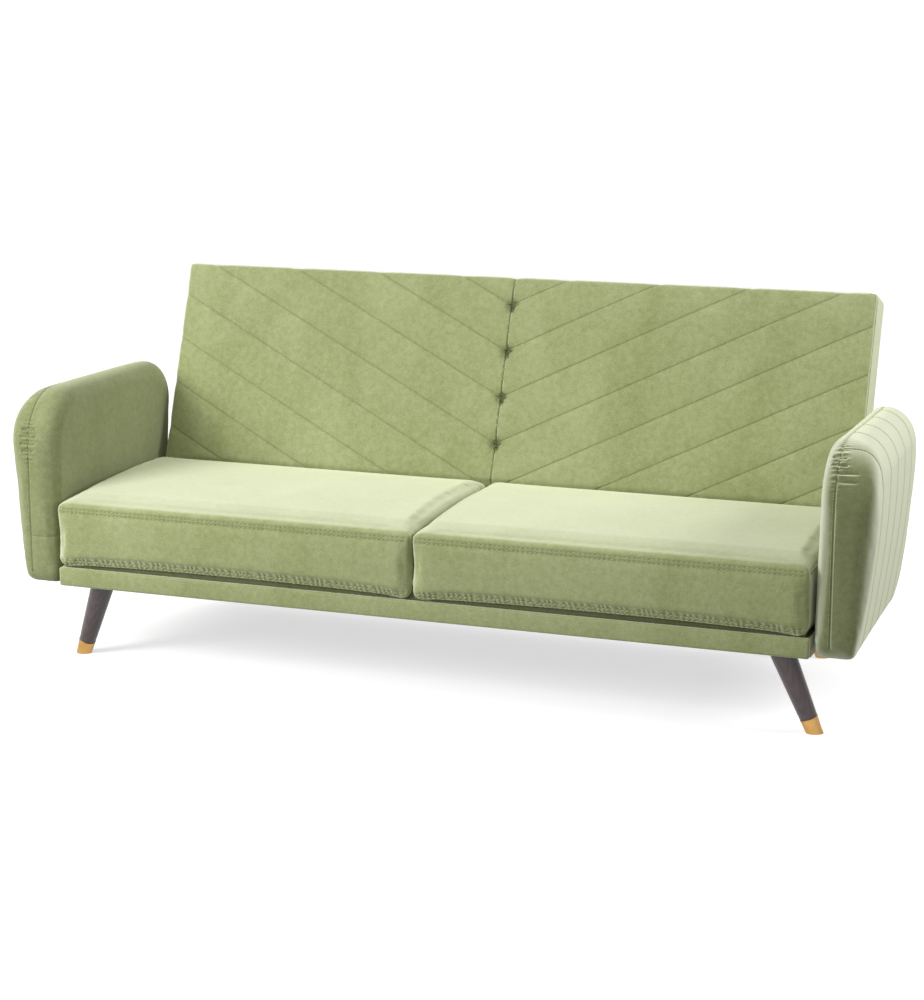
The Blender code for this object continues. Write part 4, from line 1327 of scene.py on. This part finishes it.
# %% Four legs
def leg(place_name):
    foot, top = leg_line(place_name)
    axis = (top - foot).normalized()
    length = (top - foot).length
    stand = Matrix.Translation(foot) @ axis.to_track_quat("Z", "X").to_matrix().to_4x4()
    grow = (LEG_TOP_RADIUS - LEG_FOOT_RADIUS) / length
    spread_low = LEG_FOOT_RADIUS * math.tan(math.acos(axis.z))
    cap_top = spread_low + CAP_HEIGHT

    def radius(height):
        return LEG_FOOT_RADIUS + grow * height

    stations = [(radius(cap_top) - 0.8 * MM, cap_top - 4 * MM),
                (radius(cap_top) - 0.8 * MM, cap_top + 0.2 * MM),
                (radius(cap_top) - 0.2 * MM, cap_top + 0.8 * MM)]
    stations += [(radius(height), height) for height in
                 (cap_top + (length - cap_top) * step / 8 for step in range(1, 9))]
    stations.append((radius(length + LEG_TOP_RADIUS), length + LEG_TOP_RADIUS))
    wood = turned_shape(f"{place_name}_turned_leg", stations)
    wood.data.transform(stand)
    cut_level(wood, LEG_HEIGHT - 0.1 * MM, keep_above=False)
    dress(wood, WALNUT, "dark_wood", "base", f"{place_name}_leg")
    bpy.ops.object.shade_smooth_by_angle(angle=math.radians(40))
    low = -spread_low
    cap = turned_shape(f"{place_name}_brass_cap", [
        (radius(low), low), (radius(0.25 * cap_top), 0.25 * cap_top),
        (radius(cap_top) + 0.1 * MM, cap_top - 1.6 * MM),
        (radius(cap_top) + 0.5 * MM, cap_top - 1.2 * MM),
        (radius(cap_top) + 0.5 * MM, cap_top - 0.4 * MM), (radius(cap_top) + 0.1 * MM, cap_top),
        (radius(cap_top) - 0.7 * MM, cap_top)])
    cap.data.transform(stand)
    cut_level(cap, 0.0, keep_above=True)
    dress(cap, BRASS, "brass", "base", f"{place_name}_leg_cap")
    bpy.ops.object.shade_smooth_by_angle(angle=math.radians(40))


for side in ("left", "right"):
    for end in ("front", "rear"):
        leg(f"{side}_{end}")
print("four legs stand")

# %% [markdown]
# ## Velvet in the gap
# Between the cushions and the front rail a narrow strip of the seat frame shows. It is wrapped in
# the same velvet, and little light gets in there; that shade is painted into its colour, which is
# much darker. Bare pine would shine out of the gap.


# %% Velvet on the front of the seat frame
def frame_lining():
    """Velvet wrapped over the seat frame's front board, seen in the dark gap over the rail. Its colour
    is darkened with painted shade.
    """
    low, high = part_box("seat_frame_front")
    proud = 0.6 * MM
    piece = primitive("seat_frame_lining", bpy.ops.mesh.primitive_cube_add, size=1,
                      location=((low.x + high.x) / 2, low.y - proud / 2, (low.z + high.z) / 2),
                      scale=(high.x - low.x, proud, high.z - low.z - 0.4 * MM))
    choose(piece, faces=lambda face: face.normal.z > 0.9)
    bpy.ops.mesh.extrude_region_move(TRANSFORM_OT_translate={"value": (0, 0, -0.4 * MM)})
    bpy.ops.object.mode_set(mode="OBJECT")
    modify(piece, "BEVEL", width=0.25 * MM, segments=2)
    return dress(piece, VELVET_PAINTED_SHADE, "velvet", "seat")


frame_lining()
print("frame lining wrapped")

# %% [markdown]
# ## The lining underneath
# A black fleece closes the underside and keeps dust in. It is a sheet, stapled tight at its edges
# and sagging a few millimetres between them. A flat plane would be quicker, but from low down the
# sag is what makes it read as cloth.


# %% Lining
def lining():
    low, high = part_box("dust_cover")
    width, depth = high.x - low.x, high.y - low.y
    centre = Vector((0, (low.y + high.y) / 2, high.z - 0.4 * MM))
    piece = primitive("underside_lining", bpy.ops.mesh.primitive_plane_add, size=1, location=centre)
    choose(piece, points=lambda place: True)
    bpy.ops.transform.resize(value=(width, depth, 1), center_override=centre)
    bpy.ops.mesh.subdivide(number_cuts=60)
    bpy.ops.object.mode_set(mode="OBJECT")
    for point in piece.data.vertices:
        across = 2 * point.co.x / width
        along = 2 * (point.co.y - (low.y + high.y) / 2) / depth
        sag = (1 - across ** 4) * (1 - along ** 2)
        point.co.z -= 4 * MM * sag + 0.4 * MM * noise.noise(point.co * 8.0) * (1 - across ** 8)
    modify(piece, "SOLIDIFY", thickness=0.6 * MM, offset=0)
    dress(piece, LINING, "dust_cloth", "base", "dust_cover")
    return piece


lining()
print("lining stapled")

# %% [markdown]
# ## The frame that stays
# The pine frame, plywood, hinges and bolts already have their true shape, so they only get their
# finish. They show when the back is folded down or from underneath.

# %% Finishes for the frame
def finish_of(node_name):
    """The finish by what the frame part is. The side rails show beside the cushions, so they
    wear the velvet of the gap, darkened with painted shade."""
    if any(word in node_name for word in ("bolt", "plate", "pin", "hinge")):
        return STEEL
    if any(word in node_name for word in ("deck", "arm_frame")):
        return PLYWOOD
    if node_name.endswith("side_rail"):
        return VELVET_PAINTED_SHADE
    return PINE


for node_name, part in frame["nodes"].items():
    if not part.hide_render:
        part.data.materials.clear()
        part.data.materials.append(finish_of(node_name))
        print(node_name, "->", part.data.materials[0].name)
